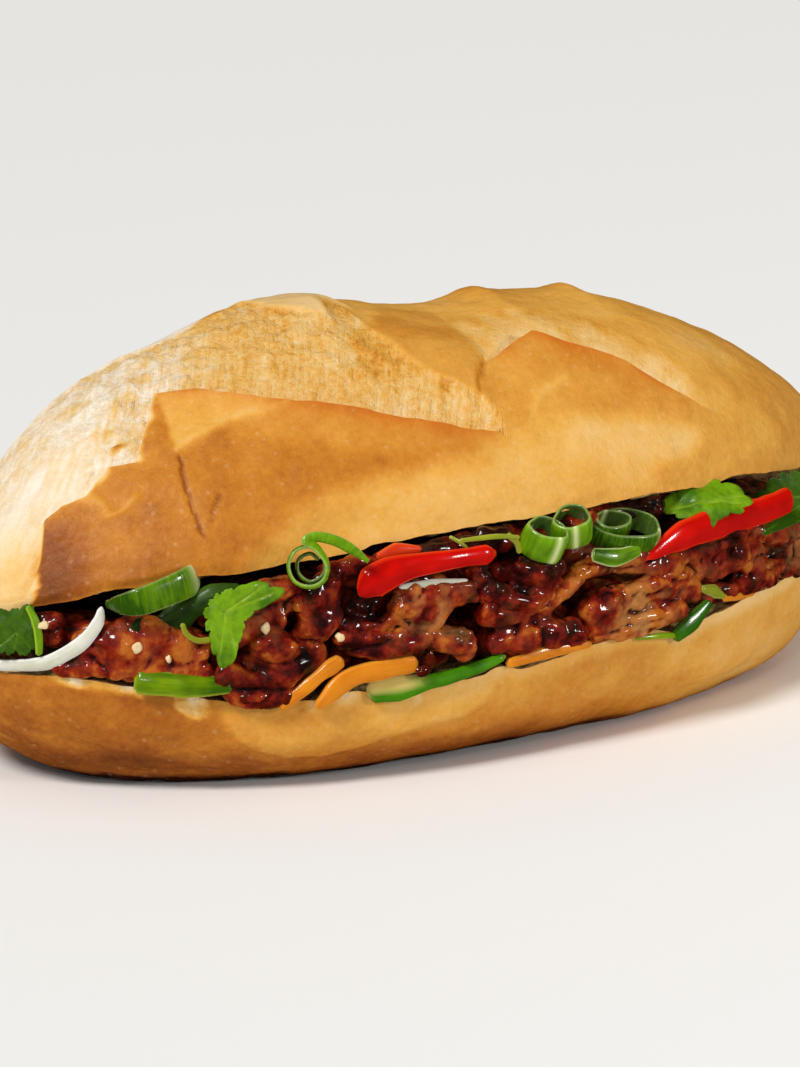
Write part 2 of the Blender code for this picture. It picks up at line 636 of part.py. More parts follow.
def main():
    for old in list(bpy.data.objects):
        bpy.data.objects.remove(old)
    parts, helpers = new_collection("banh_mi"), new_collection("cutters")
    roll = make_opened_roll(parts)
    cut_with(roll, make_mouth(helpers), "MANIFOLD")
    keep_largest_island(roll)
    firm = [make_strip(row, parts) for row in STRIPS]
    firm += [make_ring(row, parts) for row in RINGS]
    firm.append(make_curl(parts))
    firm += [make_leaf(row, number, parts) for number, row in enumerate(LEAVES)]
    firm += [make_stalk(row, parts) for row in STALKS]
    placed = []
    for number, row in enumerate(PORK):
        meat = make_pork(row, number, parts)
        make_room(meat, firm + placed, helpers)
        placed.append(meat)
    for piece in (roll, *firm, *placed):
        shade(piece)


main()
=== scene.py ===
"""Banh mi: the looks of a crusty slashed roll filled with glazed pork, herbs and cut vegetables.

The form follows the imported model. Sizes are millimetres and are turned to metres as each mesh is made.
+X runs along the roll, -Y is the open side and +Z is up.
"""

import logging
import math
from collections.abc import Callable, Iterator
from dataclasses import dataclass, field
from enum import Enum
from functools import partial

import bmesh
import bpy
import numpy as np
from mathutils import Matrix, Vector


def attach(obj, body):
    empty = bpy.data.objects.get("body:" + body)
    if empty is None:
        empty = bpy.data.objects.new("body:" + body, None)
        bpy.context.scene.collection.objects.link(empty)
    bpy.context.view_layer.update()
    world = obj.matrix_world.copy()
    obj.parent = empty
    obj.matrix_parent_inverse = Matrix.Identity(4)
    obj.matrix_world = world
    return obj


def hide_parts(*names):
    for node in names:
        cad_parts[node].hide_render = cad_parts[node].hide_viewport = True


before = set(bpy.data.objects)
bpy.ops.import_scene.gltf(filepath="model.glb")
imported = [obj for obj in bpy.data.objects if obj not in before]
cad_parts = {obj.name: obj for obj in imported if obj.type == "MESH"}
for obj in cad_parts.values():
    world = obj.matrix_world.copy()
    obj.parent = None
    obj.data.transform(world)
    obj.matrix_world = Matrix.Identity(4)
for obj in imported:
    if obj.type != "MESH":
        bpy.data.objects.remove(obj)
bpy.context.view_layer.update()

LOG = logging.getLogger("banh_mi")
MM = 0.001
CRUST_MM_PER_DEGREE = 0.8


def smooth(low: float, high: float, value: np.ndarray) -> np.ndarray:
    """Steps smoothly from 0 to 1.

    Args:
        low: The value up to which the step is 0.
        high: The value from which it is 1. It may be the smaller of the two.
        value: Where the step is wanted.

    Returns:
        The step at each value.
    """
    share = np.clip((value - low) / (high - low), 0.0, 1.0)
    return share * share * (3.0 - 2.0 * share)


def bump_of(middle: float, reach: float, value: np.ndarray) -> np.ndarray:
    """Gives a bell that is 1 in its middle and fades over its reach."""
    return np.exp(-(((value - middle) / reach) ** 2))


def unit(vectors: np.ndarray) -> np.ndarray:
    """Gives the vectors a length of 1."""
    return vectors / np.maximum(np.linalg.norm(vectors, axis=-1, keepdims=True), 1e-9)


def place(*values: np.ndarray) -> np.ndarray:
    """Joins coordinates into points."""
    return np.stack(np.broadcast_arrays(*values), axis=-1).astype(float)


def along_curve(points: tuple, shares: np.ndarray) -> np.ndarray:
    """Finds places on a smooth curve.

    Args:
        points: Points that the curve passes.
        shares: How far along the curve each place is, from 0 to 1.

    Returns:
        One place for each share.
    """
    points = np.array(points, float)
    padded = np.vstack([2 * points[0] - points[1], points, 2 * points[-1] - points[-2]])
    where = np.clip(shares, 0.0, 1.0) * (len(points) - 1)
    first = np.minimum(where.astype(int), len(points) - 2)
    t = (where - first)[:, None]
    a, b, c, d = (padded[first + k] for k in range(4))
    return 0.5 * (2 * b + (c - a) * t + (2 * a - 5 * b + 4 * c - d) * t**2 + (3 * b - a - 3 * c + d) * t**3)


class Unevenness:
    """Repeatable random relief, as smooth or creased noise."""

    def __init__(self, seed: int) -> None:
        """Draws the table that all values come from."""
        self.size = 4096
        self.table = np.random.default_rng(seed).uniform(-1.0, 1.0, self.size)

    def lattice(self, corner: np.ndarray) -> np.ndarray:
        """Looks up the random value of each whole-numbered corner, by a common hash of three numbers."""
        mixed = corner[..., 0] * 73856093 ^ corner[..., 1] * 19349663 ^ corner[..., 2] * 83492791
        return self.table[mixed & (self.size - 1)]

    def noise(self, points: np.ndarray, wavelength: float) -> np.ndarray:
        """Draws smooth noise.

        Args:
            points: Points in millimetres.
            wavelength: Distance from one swell to the next.

        Returns:
            Values from -1 to 1.
        """
        scaled = points / wavelength
        corner = np.floor(scaled).astype(np.int64)
        f = scaled - corner
        f = f * f * f * (f * (6.0 * f - 15.0) + 10.0)
        total = np.zeros(points.shape[:-1])
        for dx in (0, 1):
            for dy in (0, 1):
                for dz in (0, 1):
                    near = np.abs(1 - np.array((dx, dy, dz)) - f)
                    weight = near[..., 0] * near[..., 1] * near[..., 2]
                    total += weight * self.lattice(corner + np.array((dx, dy, dz)))
        return total

    def layered(self, points: np.ndarray, wavelength: float, layers: int = 3) -> np.ndarray:
        """Adds up noise of ever finer waves, each half as high as the one before."""
        return sum(self.noise(points + 31.7 * k, wavelength / 2.1**k) * 0.5**k for k in range(layers))

    def ridged(self, points: np.ndarray, wavelength: float) -> np.ndarray:
        """Draws noise with rounded backs and sharp creases, from -1 in a crease to 1 on a back."""
        return 2.0 * np.sqrt(np.abs(self.noise(points, wavelength)) + 1e-6) - 1.0


def linear(colour: str) -> tuple[float, float, float, float]:
    """Turns an sRGB hex colour to the linear values that shaders take."""
    shares = [int(colour[k : k + 2], 16) / 255.0 for k in (1, 3, 5)]
    return (*(s / 12.92 if s <= 0.04045 else ((s + 0.055) / 1.055) ** 2.4 for s in shares), 1.0)


def add_node(
    tree: bpy.types.NodeTree, kind: str, settings: dict, output: int | str = 0
) -> bpy.types.NodeSocket:
    """Adds a node to a material, with its settings and links.

    Args:
        tree: The material's node tree.
        kind: The node's type, without the words that all of them start with.
        settings: Values by the name of a property or by the name or number of an input. An output of
            another node is linked, and a hex colour is turned to linear. The stops of a ramp are places
            and colours.
        output: The output that is wanted.

    Returns:
        That output of the new node.
    """
    node = tree.nodes.new("ShaderNode" + kind)
    for name, value in settings.items():
        if name == "stops":
            ramp = node.color_ramp.elements
            for number, (position, colour) in enumerate(value):
                stop = ramp[number] if number < 2 else ramp.new(position)
                stop.position, stop.color = position, linear(colour)
        elif isinstance(name, str) and hasattr(node, name):
            setattr(node, name, value)
        elif isinstance(value, bpy.types.NodeSocket):
            tree.links.new(value, node.inputs[name])
        else:
            node.inputs[name].default_value = linear(value) if isinstance(value, str) else value
    return node.outputs[output]


class Finish:
    """What a surface is made of. Each finish builds its colour, gloss and fine relief from nodes."""

    name: str

    def material(self) -> bpy.types.Material:
        """Builds the material, once."""
        found = bpy.data.materials.get(self.name)
        if found:
            return found
        made = bpy.data.materials.new(self.name)
        made.use_nodes = True
        tree = made.node_tree
        self.dress(partial(add_node, tree), tree, tree.nodes["Principled BSDF"])
        return made

    def dress(self, add: Callable, tree: bpy.types.NodeTree, shader: bpy.types.Node) -> None:
        """Adds the nodes of this finish.

        Args:
            add: Adds a node to the tree.
            tree: The material's node tree.
            shader: The Principled shader that the nodes lead to.
        """
        raise NotImplementedError

    def lead(self, tree: bpy.types.NodeTree, shader: bpy.types.Node, links: dict, settings: dict) -> None:
        """Leads outputs to the shader, and sets what is the same all over the surface.

        Args:
            tree: The material's node tree.
            shader: The Principled shader.
            links: Outputs by the name of the input that each leads to.
            settings: Plain values by the name of the input.
        """
        for name, output in links.items():
            tree.links.new(output, shader.inputs[name])
        for name, value in settings.items():
            shader.inputs[name].default_value = value


class CrustFinish(Finish):
    """Baked wheat crust: thin, dry and brittle, with colour from how far each place was baked, and in places
    from painted light and shade carried in the same value.

    The eye gets a satin skin in cream to chestnut, mottled by flour and heat, with fine pores, and
    stretched fibres where a slash burst open.
    """

    name = "baked_wheat_crust"
    # How far baked, with painted light and shade in places, and the colour there. The two ends of the ramp
    # come first.
    baked = (
        (0.00, "#FBEEDA"),
        (1.00, "#4A1E05"),
        (0.14, "#F4DAB2"),
        (0.32, "#EEC37A"),
        (0.50, "#E4A746"),
        (0.66, "#CC8225"),
        (0.82, "#9E5410"),
    )

    def dress(self, add: Callable, tree: bpy.types.NodeTree, shader: bpy.types.Node) -> None:
        """Builds the crust."""
        here = add("TexCoord", {}, "Object")
        bake = add("Attribute", {"attribute_name": "bake"}, "Fac")
        bed = add("Attribute", {"attribute_name": "bed"}, "Fac")
        threads = add("Attribute", {"attribute_name": "threads"}, "Vector")
        mottle = add("TexNoise", {"Vector": here, "Scale": 1 / (9.0 * MM), "Detail": 5.0, "Roughness": 0.6})
        specks = add("TexNoise", {"Vector": here, "Scale": 1 / (1.3 * MM), "Detail": 3.0, "Roughness": 0.7})
        fibre = add("TexNoise", {"Vector": threads, "Scale": 1.0, "Detail": 4.0, "Roughness": 0.7})
        pore = add("TexVoronoi", {"Vector": here, "Scale": 1 / (2.6 * MM)})
        value = add("Math", {"operation": "MULTIPLY_ADD", 0: mottle, 1: 0.26, 2: bake})
        value = add("Math", {"operation": "MULTIPLY_ADD", 0: specks, 1: 0.16, 2: value})
        value = add("Math", {"operation": "SUBTRACT", 0: value, 1: 0.21})
        streak = add("Math", {"operation": "MULTIPLY_ADD", 0: specks, 1: 0.8, 2: fibre})
        streak = add("Math", {"operation": "SUBTRACT", 0: streak, 1: 0.9})
        streak = add("Math", {"operation": "MULTIPLY", 0: streak, 1: bed})
        value = add("Math", {"operation": "MULTIPLY_ADD", 0: streak, 1: 0.45, 2: value})
        colour = add("ValToRGB", {"Fac": value, "stops": self.baked})
        freckle = add("MapRange", {"Value": pore, "From Min": 0.2, "From Max": 0.08, "To Max": 0.1})
        colour = add("Mix", {"data_type": "RGBA", 0: freckle, 6: colour, 7: "#FBE6BE"}, 2)
        # Partly the darker bake of the ears' edges, partly painted shade under the raised ears.
        singed = add("Attribute", {"attribute_name": "singed"}, "Fac")
        singed = add("Math", {"operation": "MULTIPLY", 0: singed, 1: 0.75})
        colour = add("Mix", {"data_type": "RGBA", 0: singed, 6: colour, 7: "#CF6A14"}, 2)
        height = add("Math", {"operation": "MULTIPLY_ADD", 0: specks, 1: 0.4, 2: mottle})
        height = add("Math", {"operation": "MULTIPLY_ADD", 0: streak, 1: 1.2, 2: height})
        normal = add("Bump", {"Height": height, "Strength": 1.0, "Distance": 0.45 * MM})
        rough = add("Math", {"operation": "MULTIPLY_ADD", 0: specks, 1: 0.25, 2: 0.36})
        self.lead(
            tree, shader, {"Base Color": colour, "Normal": normal, "Roughness": rough},
            {"IOR": 1.45, "Specular IOR Level": 0.25, "Subsurface Weight": 0.05,
             "Subsurface Radius": (1.0, 0.6, 0.3), "Subsurface Scale": 1.2 * MM},
        )


class CrumbFinish(Finish):
    """Torn wheat crumb: a soft open sponge, off-white, stained where sauce has run into it, with painted
    shade in its pores and painted light along its front lip.
    """

    name = "wheat_crumb"

    def dress(self, add: Callable, tree: bpy.types.NodeTree, shader: bpy.types.Node) -> None:
        """Builds the crumb."""
        here = add("TexCoord", {}, "Object")
        soak = add("Attribute", {"attribute_name": "soak"}, "Fac")
        holes = add("TexVoronoi", {"Vector": here, "Scale": 1 / (2.2 * MM)})
        fine = add("TexNoise", {"Vector": here, "Scale": 1 / (1.1 * MM), "Detail": 4.0, "Roughness": 0.6})
        colour = add("Mix", {"data_type": "RGBA", 0: fine, 6: "#DDB067", 7: "#F6DDA6"}, 2)
        # The pores are darkened: painted shade in the holes.
        deep = add("MapRange", {"Value": holes, "From Min": 0.35, "From Max": 0.1, "To Max": 0.4})
        colour = add("Mix", {"data_type": "RGBA", 0: deep, 6: colour, 7: "#A9742F"}, 2)
        # The front lip is painted brighter and more golden: partly its own golden torn edge, partly painted
        # light where it lies in shade.
        gold = add("Attribute", {"attribute_name": "gold"}, "Fac")
        gold = add("Math", {"operation": "MULTIPLY", 0: gold, 1: 0.75})
        colour = add("Mix", {"data_type": "RGBA", 0: gold, 6: colour, 7: "#FFD27E"}, 2)
        stain = add("Math", {"operation": "ADD", 0: fine, 1: 0.35})
        stain = add("Math", {"operation": "MULTIPLY", 0: stain, 1: soak})
        colour = add("Mix", {"data_type": "RGBA", 0: stain, 6: colour, 7: "#5C2408"}, 2)
        height = add("Math", {"operation": "ADD", 0: holes, 1: fine})
        normal = add("Bump", {"Height": height, "Strength": 1.0, "Distance": 0.8 * MM})
        self.lead(
            tree, shader, {"Base Color": colour, "Normal": normal},
            {"Roughness": 0.85, "Subsurface Weight": 0.1, "Subsurface Radius": (1.0, 0.8, 0.5),
             "Subsurface Scale": 1.5 * MM},
        )


class GlazedMeatFinish(Finish):
    """Grilled pork in caramel glaze: wet, dark and glossy, with charred and fatty places.

    The eye gets mahogany to amber under a clear coat of syrup with small sharp highlights.
    """

    name = "glazed_grilled_pork"
    # How browned, and the colour there. The two ends of the ramp come first.
    browned = ((0.0, "#280502"), (1.0, "#BC641C"), (0.24, "#520904"), (0.48, "#7E1608"), (0.75, "#9C340A"))

    def dress(self, add: Callable, tree: bpy.types.NodeTree, shader: bpy.types.Node) -> None:
        """Builds the meat and its coat of glaze."""
        here = add("TexCoord", {}, "Object")
        crease, char, amber, pale = (
            add("Attribute", {"attribute_name": name}, "Fac")
            for name in ("crease", "char", "amber", "pale")
        )
        patch = add("TexNoise", {"Vector": here, "Scale": 1 / (5.0 * MM), "Detail": 3.0, "Roughness": 0.6})
        strands = add("TexNoise", {
            "Vector": here, "Scale": 1 / (1.2 * MM), "Detail": 4.0, "Roughness": 0.65})
        blots = add("TexNoise", {"Vector": here, "Scale": 1 / (3.4 * MM), "Detail": 2.0})
        warm = add("MapRange", {
            "Value": patch, "From Min": 0.36, "From Max": 0.64, "To Min": -0.42, "To Max": 0.36})
        warm = add("Math", {"operation": "ADD", 0: warm, 1: amber})
        # Hollows, where crease is low, get painted shade: less warm colour here, and near-black below.
        raised = add("Math", {"operation": "MULTIPLY_ADD", 0: crease, 1: 1.0, 2: 0.25})
        warm = add("Math", {"operation": "MULTIPLY", 0: warm, 1: raised})
        colour = add("ValToRGB", {"Fac": warm, "stops": self.browned})
        fat = add("MapRange", {"Value": blots, "From Min": 0.44, "From Max": 0.62})
        fat = add("Math", {"operation": "MULTIPLY", 0: fat, 1: pale})
        fat = add("Math", {"operation": "MULTIPLY", 0: fat, 1: 0.8})
        colour = add("Mix", {"data_type": "RGBA", 0: fat, 6: colour, 7: "#C4894A"}, 2)
        # Painted shade: the hollows turn near-black.
        dark = add("MapRange", {"Value": crease, "From Min": 0.5, "From Max": 0.15, "To Max": 0.9})
        colour = add("Mix", {"data_type": "RGBA", 0: dark, 6: colour, 7: "#160301"}, 2)
        burnt = add("MapRange", {"Value": strands, "From Min": 0.40, "From Max": 0.5})
        burnt = add("Math", {"operation": "MULTIPLY", 0: burnt, 1: char})
        colour = add("Mix", {"data_type": "RGBA", 0: burnt, 6: colour, 7: "#0A0605"}, 2)
        height = add("Math", {"operation": "MULTIPLY_ADD", 0: patch, 1: 0.5, 2: strands})
        normal = add("Bump", {"Height": height, "Strength": 1.0, "Distance": 0.55 * MM})
        rough = add("Math", {"operation": "MULTIPLY_ADD", 0: strands, 1: 0.3, 2: 0.2})
        self.lead(
            tree, shader, {"Base Color": colour, "Normal": normal, "Roughness": rough},
            {"IOR": 1.45, "Specular IOR Level": 0.12, "Subsurface Weight": 0.1,
             "Subsurface Radius": (1.0, 0.25, 0.1), "Subsurface Scale": 1.2 * MM,
             "Coat Weight": 0.9, "Coat Roughness": 0.1, "Coat IOR": 1.4},
        )


@dataclass(frozen=True)
class CutPlantFinish(Finish):
    """Fresh cut vegetable: wet and a little see-through, streaked along its fibres and paler where cut.

    It has a hex colour each for its skin, for its darker streaks and for its flesh. The streaks' width
    counts along the threads, see_in is how far light gets in, and wet is how much of a clear coat of water
    it has.
    """

    name: str
    skin: str
    deep: str
    flesh: str
    roughness: float
    streak_mm: float
    see_in: float
    wet: float = 0.5

    def dress(self, add: Callable, tree: bpy.types.NodeTree, shader: bpy.types.Node) -> None:
        """Builds the plant's skin and flesh."""
        here = add("TexCoord", {}, "Object")
        cut = add("Attribute", {"attribute_name": "cut"}, "Fac")
        dark = add("Attribute", {"attribute_name": "dark"}, "Fac")
        threads = add("Attribute", {"attribute_name": "threads"}, "Vector")
        streak = add("TexNoise", {
            "Vector": threads, "Scale": 1 / self.streak_mm, "Detail": 3.0, "Roughness": 0.6})
        patch = add("TexNoise", {"Vector": here, "Scale": 1 / (6.0 * MM), "Detail": 2.0})
        share = add("Math", {"operation": "ADD", 0: streak, 1: patch})
        share = add("MapRange", {"Value": share, "From Min": 0.8, "From Max": 1.25, "To Max": 0.6})
        share = add("Math", {"operation": "ADD", 0: share, 1: dark, "use_clamp": True})
        colour = add("Mix", {"data_type": "RGBA", 0: share, 6: self.skin, 7: self.deep}, 2)
        colour = add("Mix", {"data_type": "RGBA", 0: cut, 6: colour, 7: self.flesh}, 2)
        height = add("Math", {"operation": "MULTIPLY_ADD", 0: streak, 1: 0.6, 2: patch})
        normal = add("Bump", {"Height": height, "Strength": 1.0, "Distance": 0.2 * MM})
        rough = add("Math", {"operation": "MULTIPLY_ADD", 0: streak, 1: 0.12, 2: self.roughness})
        self.lead(
            tree, shader, {"Base Color": colour, "Normal": normal, "Roughness": rough},
            {"IOR": 1.4, "Specular IOR Level": 0.25, "Subsurface Weight": self.see_in,
             "Subsurface Radius": (0.6, 0.8, 0.3), "Subsurface Scale": 1.2 * MM,
             "Coat Weight": self.wet, "Coat Roughness": 0.1},
        )


class Plant(Enum):
    """The cut vegetables and herbs, each with its finish."""

    CHILI = CutPlantFinish("red_chili_skin", "#DC0E04", "#A00402", "#EE3810", 0.14, 2.5, 0.10)
    CHILI_PALE = CutPlantFinish("orange_chili_skin", "#E03C14", "#B0240A", "#EC6428", 0.2, 2.5, 0.10)
    SCALLION = CutPlantFinish("scallion_leaf", "#78A80E", "#2C5004", "#D8E49A", 0.18, 0.7, 0.12)
    HERB = CutPlantFinish("coriander_leaf", "#7AA606", "#3E6A02", "#A2C028", 0.42, 1.2, 0.12, 0.1)
    HERB_DARK = CutPlantFinish(
        "coriander_leaf_in_shade", "#446C05", "#182E02", "#68901A", 0.42, 1.2, 0.1, 0.1
    )
    STALK = CutPlantFinish("herb_stalk", "#9CA020", "#66781A", "#BCBE58", 0.3, 1.0, 0.15)
    ONION = CutPlantFinish("white_onion", "#FBFAF4", "#D2D2BC", "#FFFFFA", 0.2, 1.0, 0.3)
    CARROT = CutPlantFinish("pickled_carrot", "#E08A18", "#BE6008", "#EEA034", 0.24, 1.6, 0.25)
    RIND = CutPlantFinish("cucumber_rind", "#4C8E06", "#205204", "#CDB766", 0.2, 1.8, 0.12)
    RIND_PALE = CutPlantFinish("pale_cucumber_rind", "#88A806", "#365C02", "#AABC34", 0.2, 1.8, 0.15)


class SyrupFinish(Finish):
    """Caramel and soy sauce: nearly black drops, clear and sharply glossy like warm syrup."""

    name = "caramel_sauce"

    def dress(self, add: Callable, tree: bpy.types.NodeTree, shader: bpy.types.Node) -> None:
        """Builds the sauce."""
        here = add("TexCoord", {}, "Object")
        cloud = add("TexNoise", {"Vector": here, "Scale": 1 / (2.0 * MM), "Detail": 2.0})
        colour = add("Mix", {"data_type": "RGBA", 0: cloud, 6: "#1C0503", 7: "#6A1C0A"}, 2)
        normal = add("Bump", {"Height": cloud, "Strength": 1.0, "Distance": 0.1 * MM})
        rough = add("Math", {"operation": "MULTIPLY_ADD", 0: cloud, 1: 0.1, 2: 0.08})
        self.lead(
            tree, shader, {"Base Color": colour, "Normal": normal, "Roughness": rough},
            {"IOR": 1.47, "Coat Weight": 1.0, "Coat Roughness": 0.04},
        )


class NutFinish(Finish):
    """Chopped roasted peanut: dry ivory bits with a warm tan edge."""

    name = "chopped_peanut"

    def dress(self, add: Callable, tree: bpy.types.NodeTree, shader: bpy.types.Node) -> None:
        """Builds the nut."""
        here = add("TexCoord", {}, "Object")
        cloud = add("TexNoise", {"Vector": here, "Scale": 1 / (0.9 * MM), "Detail": 2.0})
        colour = add("Mix", {"data_type": "RGBA", 0: cloud, 6: "#DDB06E", 7: "#FBEBC0"}, 2)
        normal = add("Bump", {"Height": cloud, "Strength": 1.0, "Distance": 0.2 * MM})
        rough = add("Math", {"operation": "MULTIPLY_ADD", 0: cloud, 1: 0.2, 2: 0.35})
        self.lead(tree, shader, {"Base Color": colour, "Normal": normal, "Roughness": rough}, {"IOR": 1.47})


def make_piece(
    name: str, points: np.ndarray, faces: list, finish: Finish, values: dict | None = None
) -> bpy.types.Object:
    """Makes a piece of the sandwich from a mesh in millimetres.

    Args:
        name: The piece's name.
        points: Its vertices.
        faces: A list of vertex numbers for each face.
        finish: What it is made of.
        values: Measures of the form that the finish reads, one number or vector for each vertex.

    Returns:
        The object, riding on the model's one body.
    """
    data = bpy.data.meshes.new(name)
    data.from_pydata((points * MM).tolist(), [], faces)
    data.validate()
    for key, numbers in (values or {}).items():
        kind, field_name = ("FLOAT_VECTOR", "vector") if np.ndim(numbers) == 2 else ("FLOAT", "value")
        made = data.attributes.new(key, kind, "POINT")
        made.data.foreach_set(field_name, np.ascontiguousarray(numbers, np.float32).ravel())
    data.materials.append(finish.material())
    data.shade_smooth()
    piece = bpy.data.objects.new(name, data)
    bpy.context.scene.collection.objects.link(piece)
    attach(piece, "root")
    LOG.info("%s: %d vertices", name, len(points))
    return piece


def face_outwards(piece: bpy.types.Object) -> None:
    """Turns the faces of a closed piece outwards."""
    form = bmesh.new()
    form.from_mesh(piece.data)
    bmesh.ops.recalc_face_normals(form, faces=form.faces[:])
    form.to_mesh(piece.data)
    form.free()


def grid_faces(rows: int, columns: int, closed: bool = False) -> np.ndarray:
    """Numbers the faces of a grid of vertices.

    Args:
        rows: How many rows of vertices there are.
        columns: How many vertices a row has.
        closed: Whether each row runs round to its start.

    Returns:
        Four vertex numbers for each face.
    """
    here = np.arange(rows * columns).reshape(rows, columns)
    right = np.roll(here, -1, axis=1)
    last = columns if closed else columns - 1
    corners = (here[:-1], right[:-1], right[1:], here[1:])
    return np.stack([corner[:, :last].ravel() for corner in corners], axis=1)


def legs(route: tuple, x: np.ndarray, up: np.ndarray) -> Iterator[tuple[np.ndarray, np.ndarray]]:
    """Goes along a route on the crust, leg by leg.

    Args:
        route: Its corners in crust coordinates: along the roll, and away from the front lip.
        x: Places along the roll.
        up: Places up the crust.

    Yields:
        How far each place lies from the nearest place of the leg, along the roll and up the crust.
    """
    for (ax, ay), (bx, by) in zip(route, route[1:]):
        length = (bx - ax) ** 2 + (by - ay) ** 2
        share = np.clip(((x - ax) * (bx - ax) + (up - ay) * (by - ay)) / length, 0.0, 1.0)
        yield x - ax - share * (bx - ax), up - ay - share * (by - ay)


@dataclass(frozen=True)
class Patch:
    """A patch of crust, as corners in crust coordinates: along the roll, and away from the front lip."""

    corners: tuple
    blur: float

    def cover(self, x: np.ndarray, up: np.ndarray) -> np.ndarray:
        """Says how much of each place the patch covers, from 0 to 1."""
        outline = self.corners + self.corners[:1]
        nearest = np.min([np.hypot(*away) for away in legs(outline, x, up)], axis=0)
        inside = np.zeros(x.shape, bool)
        for (ax, ay), (bx, by) in zip(outline, outline[1:]):
            rise = by - ay if by != ay else 1e-9
            inside ^= ((ay > up) != (by > up)) & (x < ax + (up - ay) * (bx - ax) / rise)
        return smooth(-self.blur, self.blur, np.where(inside, nearest, -nearest))


def near_route(x: np.ndarray, up: np.ndarray, route: tuple, reach: float) -> np.ndarray:
    """Says how near each place of the crust is to a route.

    Args:
        x: Places along the roll.
        up: Places up the crust.
        route: The route's corners.
        reach: How far from the route the value has faded.

    Returns:
        Values from 1 on the route to 0 far from it.
    """
    nearest = np.min([across**2 + above**2 for across, above in legs(route, x, up)], axis=0)
    return np.exp(-nearest / reach**2)


@dataclass(frozen=True)
class Slash:
    """A slash across the crust: an ear lifts along its front edge, and stretched dough opens behind it.

    Places are crust coordinates: along the roll, and up the crust from the front lip. The ear's edge and
    the bed's rear edge are lines of such places, and lift is how high the ear stands at places along the
    roll.
    """

    ear: tuple
    rear: tuple
    lift: tuple
    paleness: float
    depth: float
    ear_reach: float = 7.0
    rear_lift: float = 0.9
    fade: float = 0.5
    tear: float = 6.0

    def front(self, x: np.ndarray, uneven: Unevenness) -> np.ndarray:
        """Finds how far up the ear's torn edge lies."""
        line = place(x, 0.0 * x, 0.0 * x)
        return np.interp(x, *zip(*self.ear)) + 0.45 * uneven.layered(line, self.tear)

    def back(self, x: np.ndarray, uneven: Unevenness) -> np.ndarray:
        """Finds how far up the bed ends."""
        line = place(x + 50.0, 0.0 * x, 0.0 * x)
        return np.interp(x, *zip(*self.rear)) + 0.9 * uneven.layered(line, self.tear)

    def relief(self, x: np.ndarray, up: np.ndarray, uneven: Unevenness) -> tuple[np.ndarray, ...]:
        """Works out the slash's form.

        Args:
            x: Places along the roll.
            up: Places up the crust.
            uneven: The relief that tears its edges.

        Returns:
            Its height, how much of each place is bed, how far across the bed each place lies from 0 to 1,
            and how near each place is under the ear's edge.
        """
        front = self.front(x, uneven)
        back = np.maximum(self.back(x, uneven), front + 0.1)
        lift = np.interp(x, *zip(*self.lift))
        present = smooth(0.0, 0.35, lift)
        behind = smooth(0.0, 0.35, up - front)
        share = np.clip((up - front) / np.maximum(back - front, 0.5), 0.0, 1.0)
        past = smooth(-self.fade, self.fade, up - back)
        below = np.clip(up - front, -80.0, 0.0)
        ear = lift * np.exp(below / self.ear_reach) * (1.0 - behind)
        depth = self.depth * np.minimum(1.0, (back - front) / 10.0) * present
        bed = -depth * (1.0 - share) ** 1.2 * behind * (1.0 - past)
        rim = self.rear_lift * present * past * np.exp(-np.clip(up - back, 0.0, None) / 6.0)
        under = (1.0 - behind) * np.exp(below / 1.9) * np.minimum(1.0, lift)
        return ear + bed + rim, present * behind * (1.0 - past), share, under


LEFT_SLASH = Slash(
    ear=((-98, 2), (-86.2, 3.6), (-82.5, 16), (-80.2, 28.8), (-77, 30.6), (-73.5, 28.8), (-68.2, 34.2),
         (-63.6, 31.8), (-60.7, 37.2), (-55.9, 45.6), (-48.6, 41.2), (-39.6, 34.8), (-26.6, 28.2),
         (-15.3, 23.2), (-3.8, 20.0), (4.0, 18.0)),
    rear=((-98, 30), (-80, 80), (-64, 78), (-46, 68), (-33, 66), (-27, 69), (-26, 60), (-22, 54.6),
          (-18.4, 50.5), (-16.5, 56), (-13.5, 58), (-11.8, 47), (-10.8, 42.6), (-7.7, 33.0),
          (0.8, 25.8), (4.0, 18.5)),
    lift=((-90, 0.0), (-80, 0.35), (-62, 0.45), (-57, 1.5), (-45, 1.9), (-25, 1.8), (-10, 1.3),
          (1.0, 0.4), (4.0, 0.0)),
    paleness=1.0,
    depth=1.3,
    rear_lift=0.5,
)
RIGHT_SLASH = Slash(
    ear=((1, 30), (6.2, 33.4), (11.0, 35.2), (17.6, 37.8), (20.5, 35.8), (24.4, 33.6), (31.7, 30.4),
         (35.4, 28.0), (38.9, 25.4), (47, 20), (56, 14)),
    rear=((1, 33), (4.0, 47), (9.2, 52.0), (17.6, 50.0), (25.1, 50.0), (32.5, 46.2), (38.8, 39.8),
          (44.4, 33.6), (51.2, 24.6), (56, 17)),
    lift=((4.5, 0.0), (9, 0.5), (13, 1.3), (17.6, 2.2), (24, 1.8), (34, 1.3), (42, 0.6), (52, 0.0)),
    paleness=0.8,
    depth=0.5,
    rear_lift=0.1,
    fade=3.0,
)


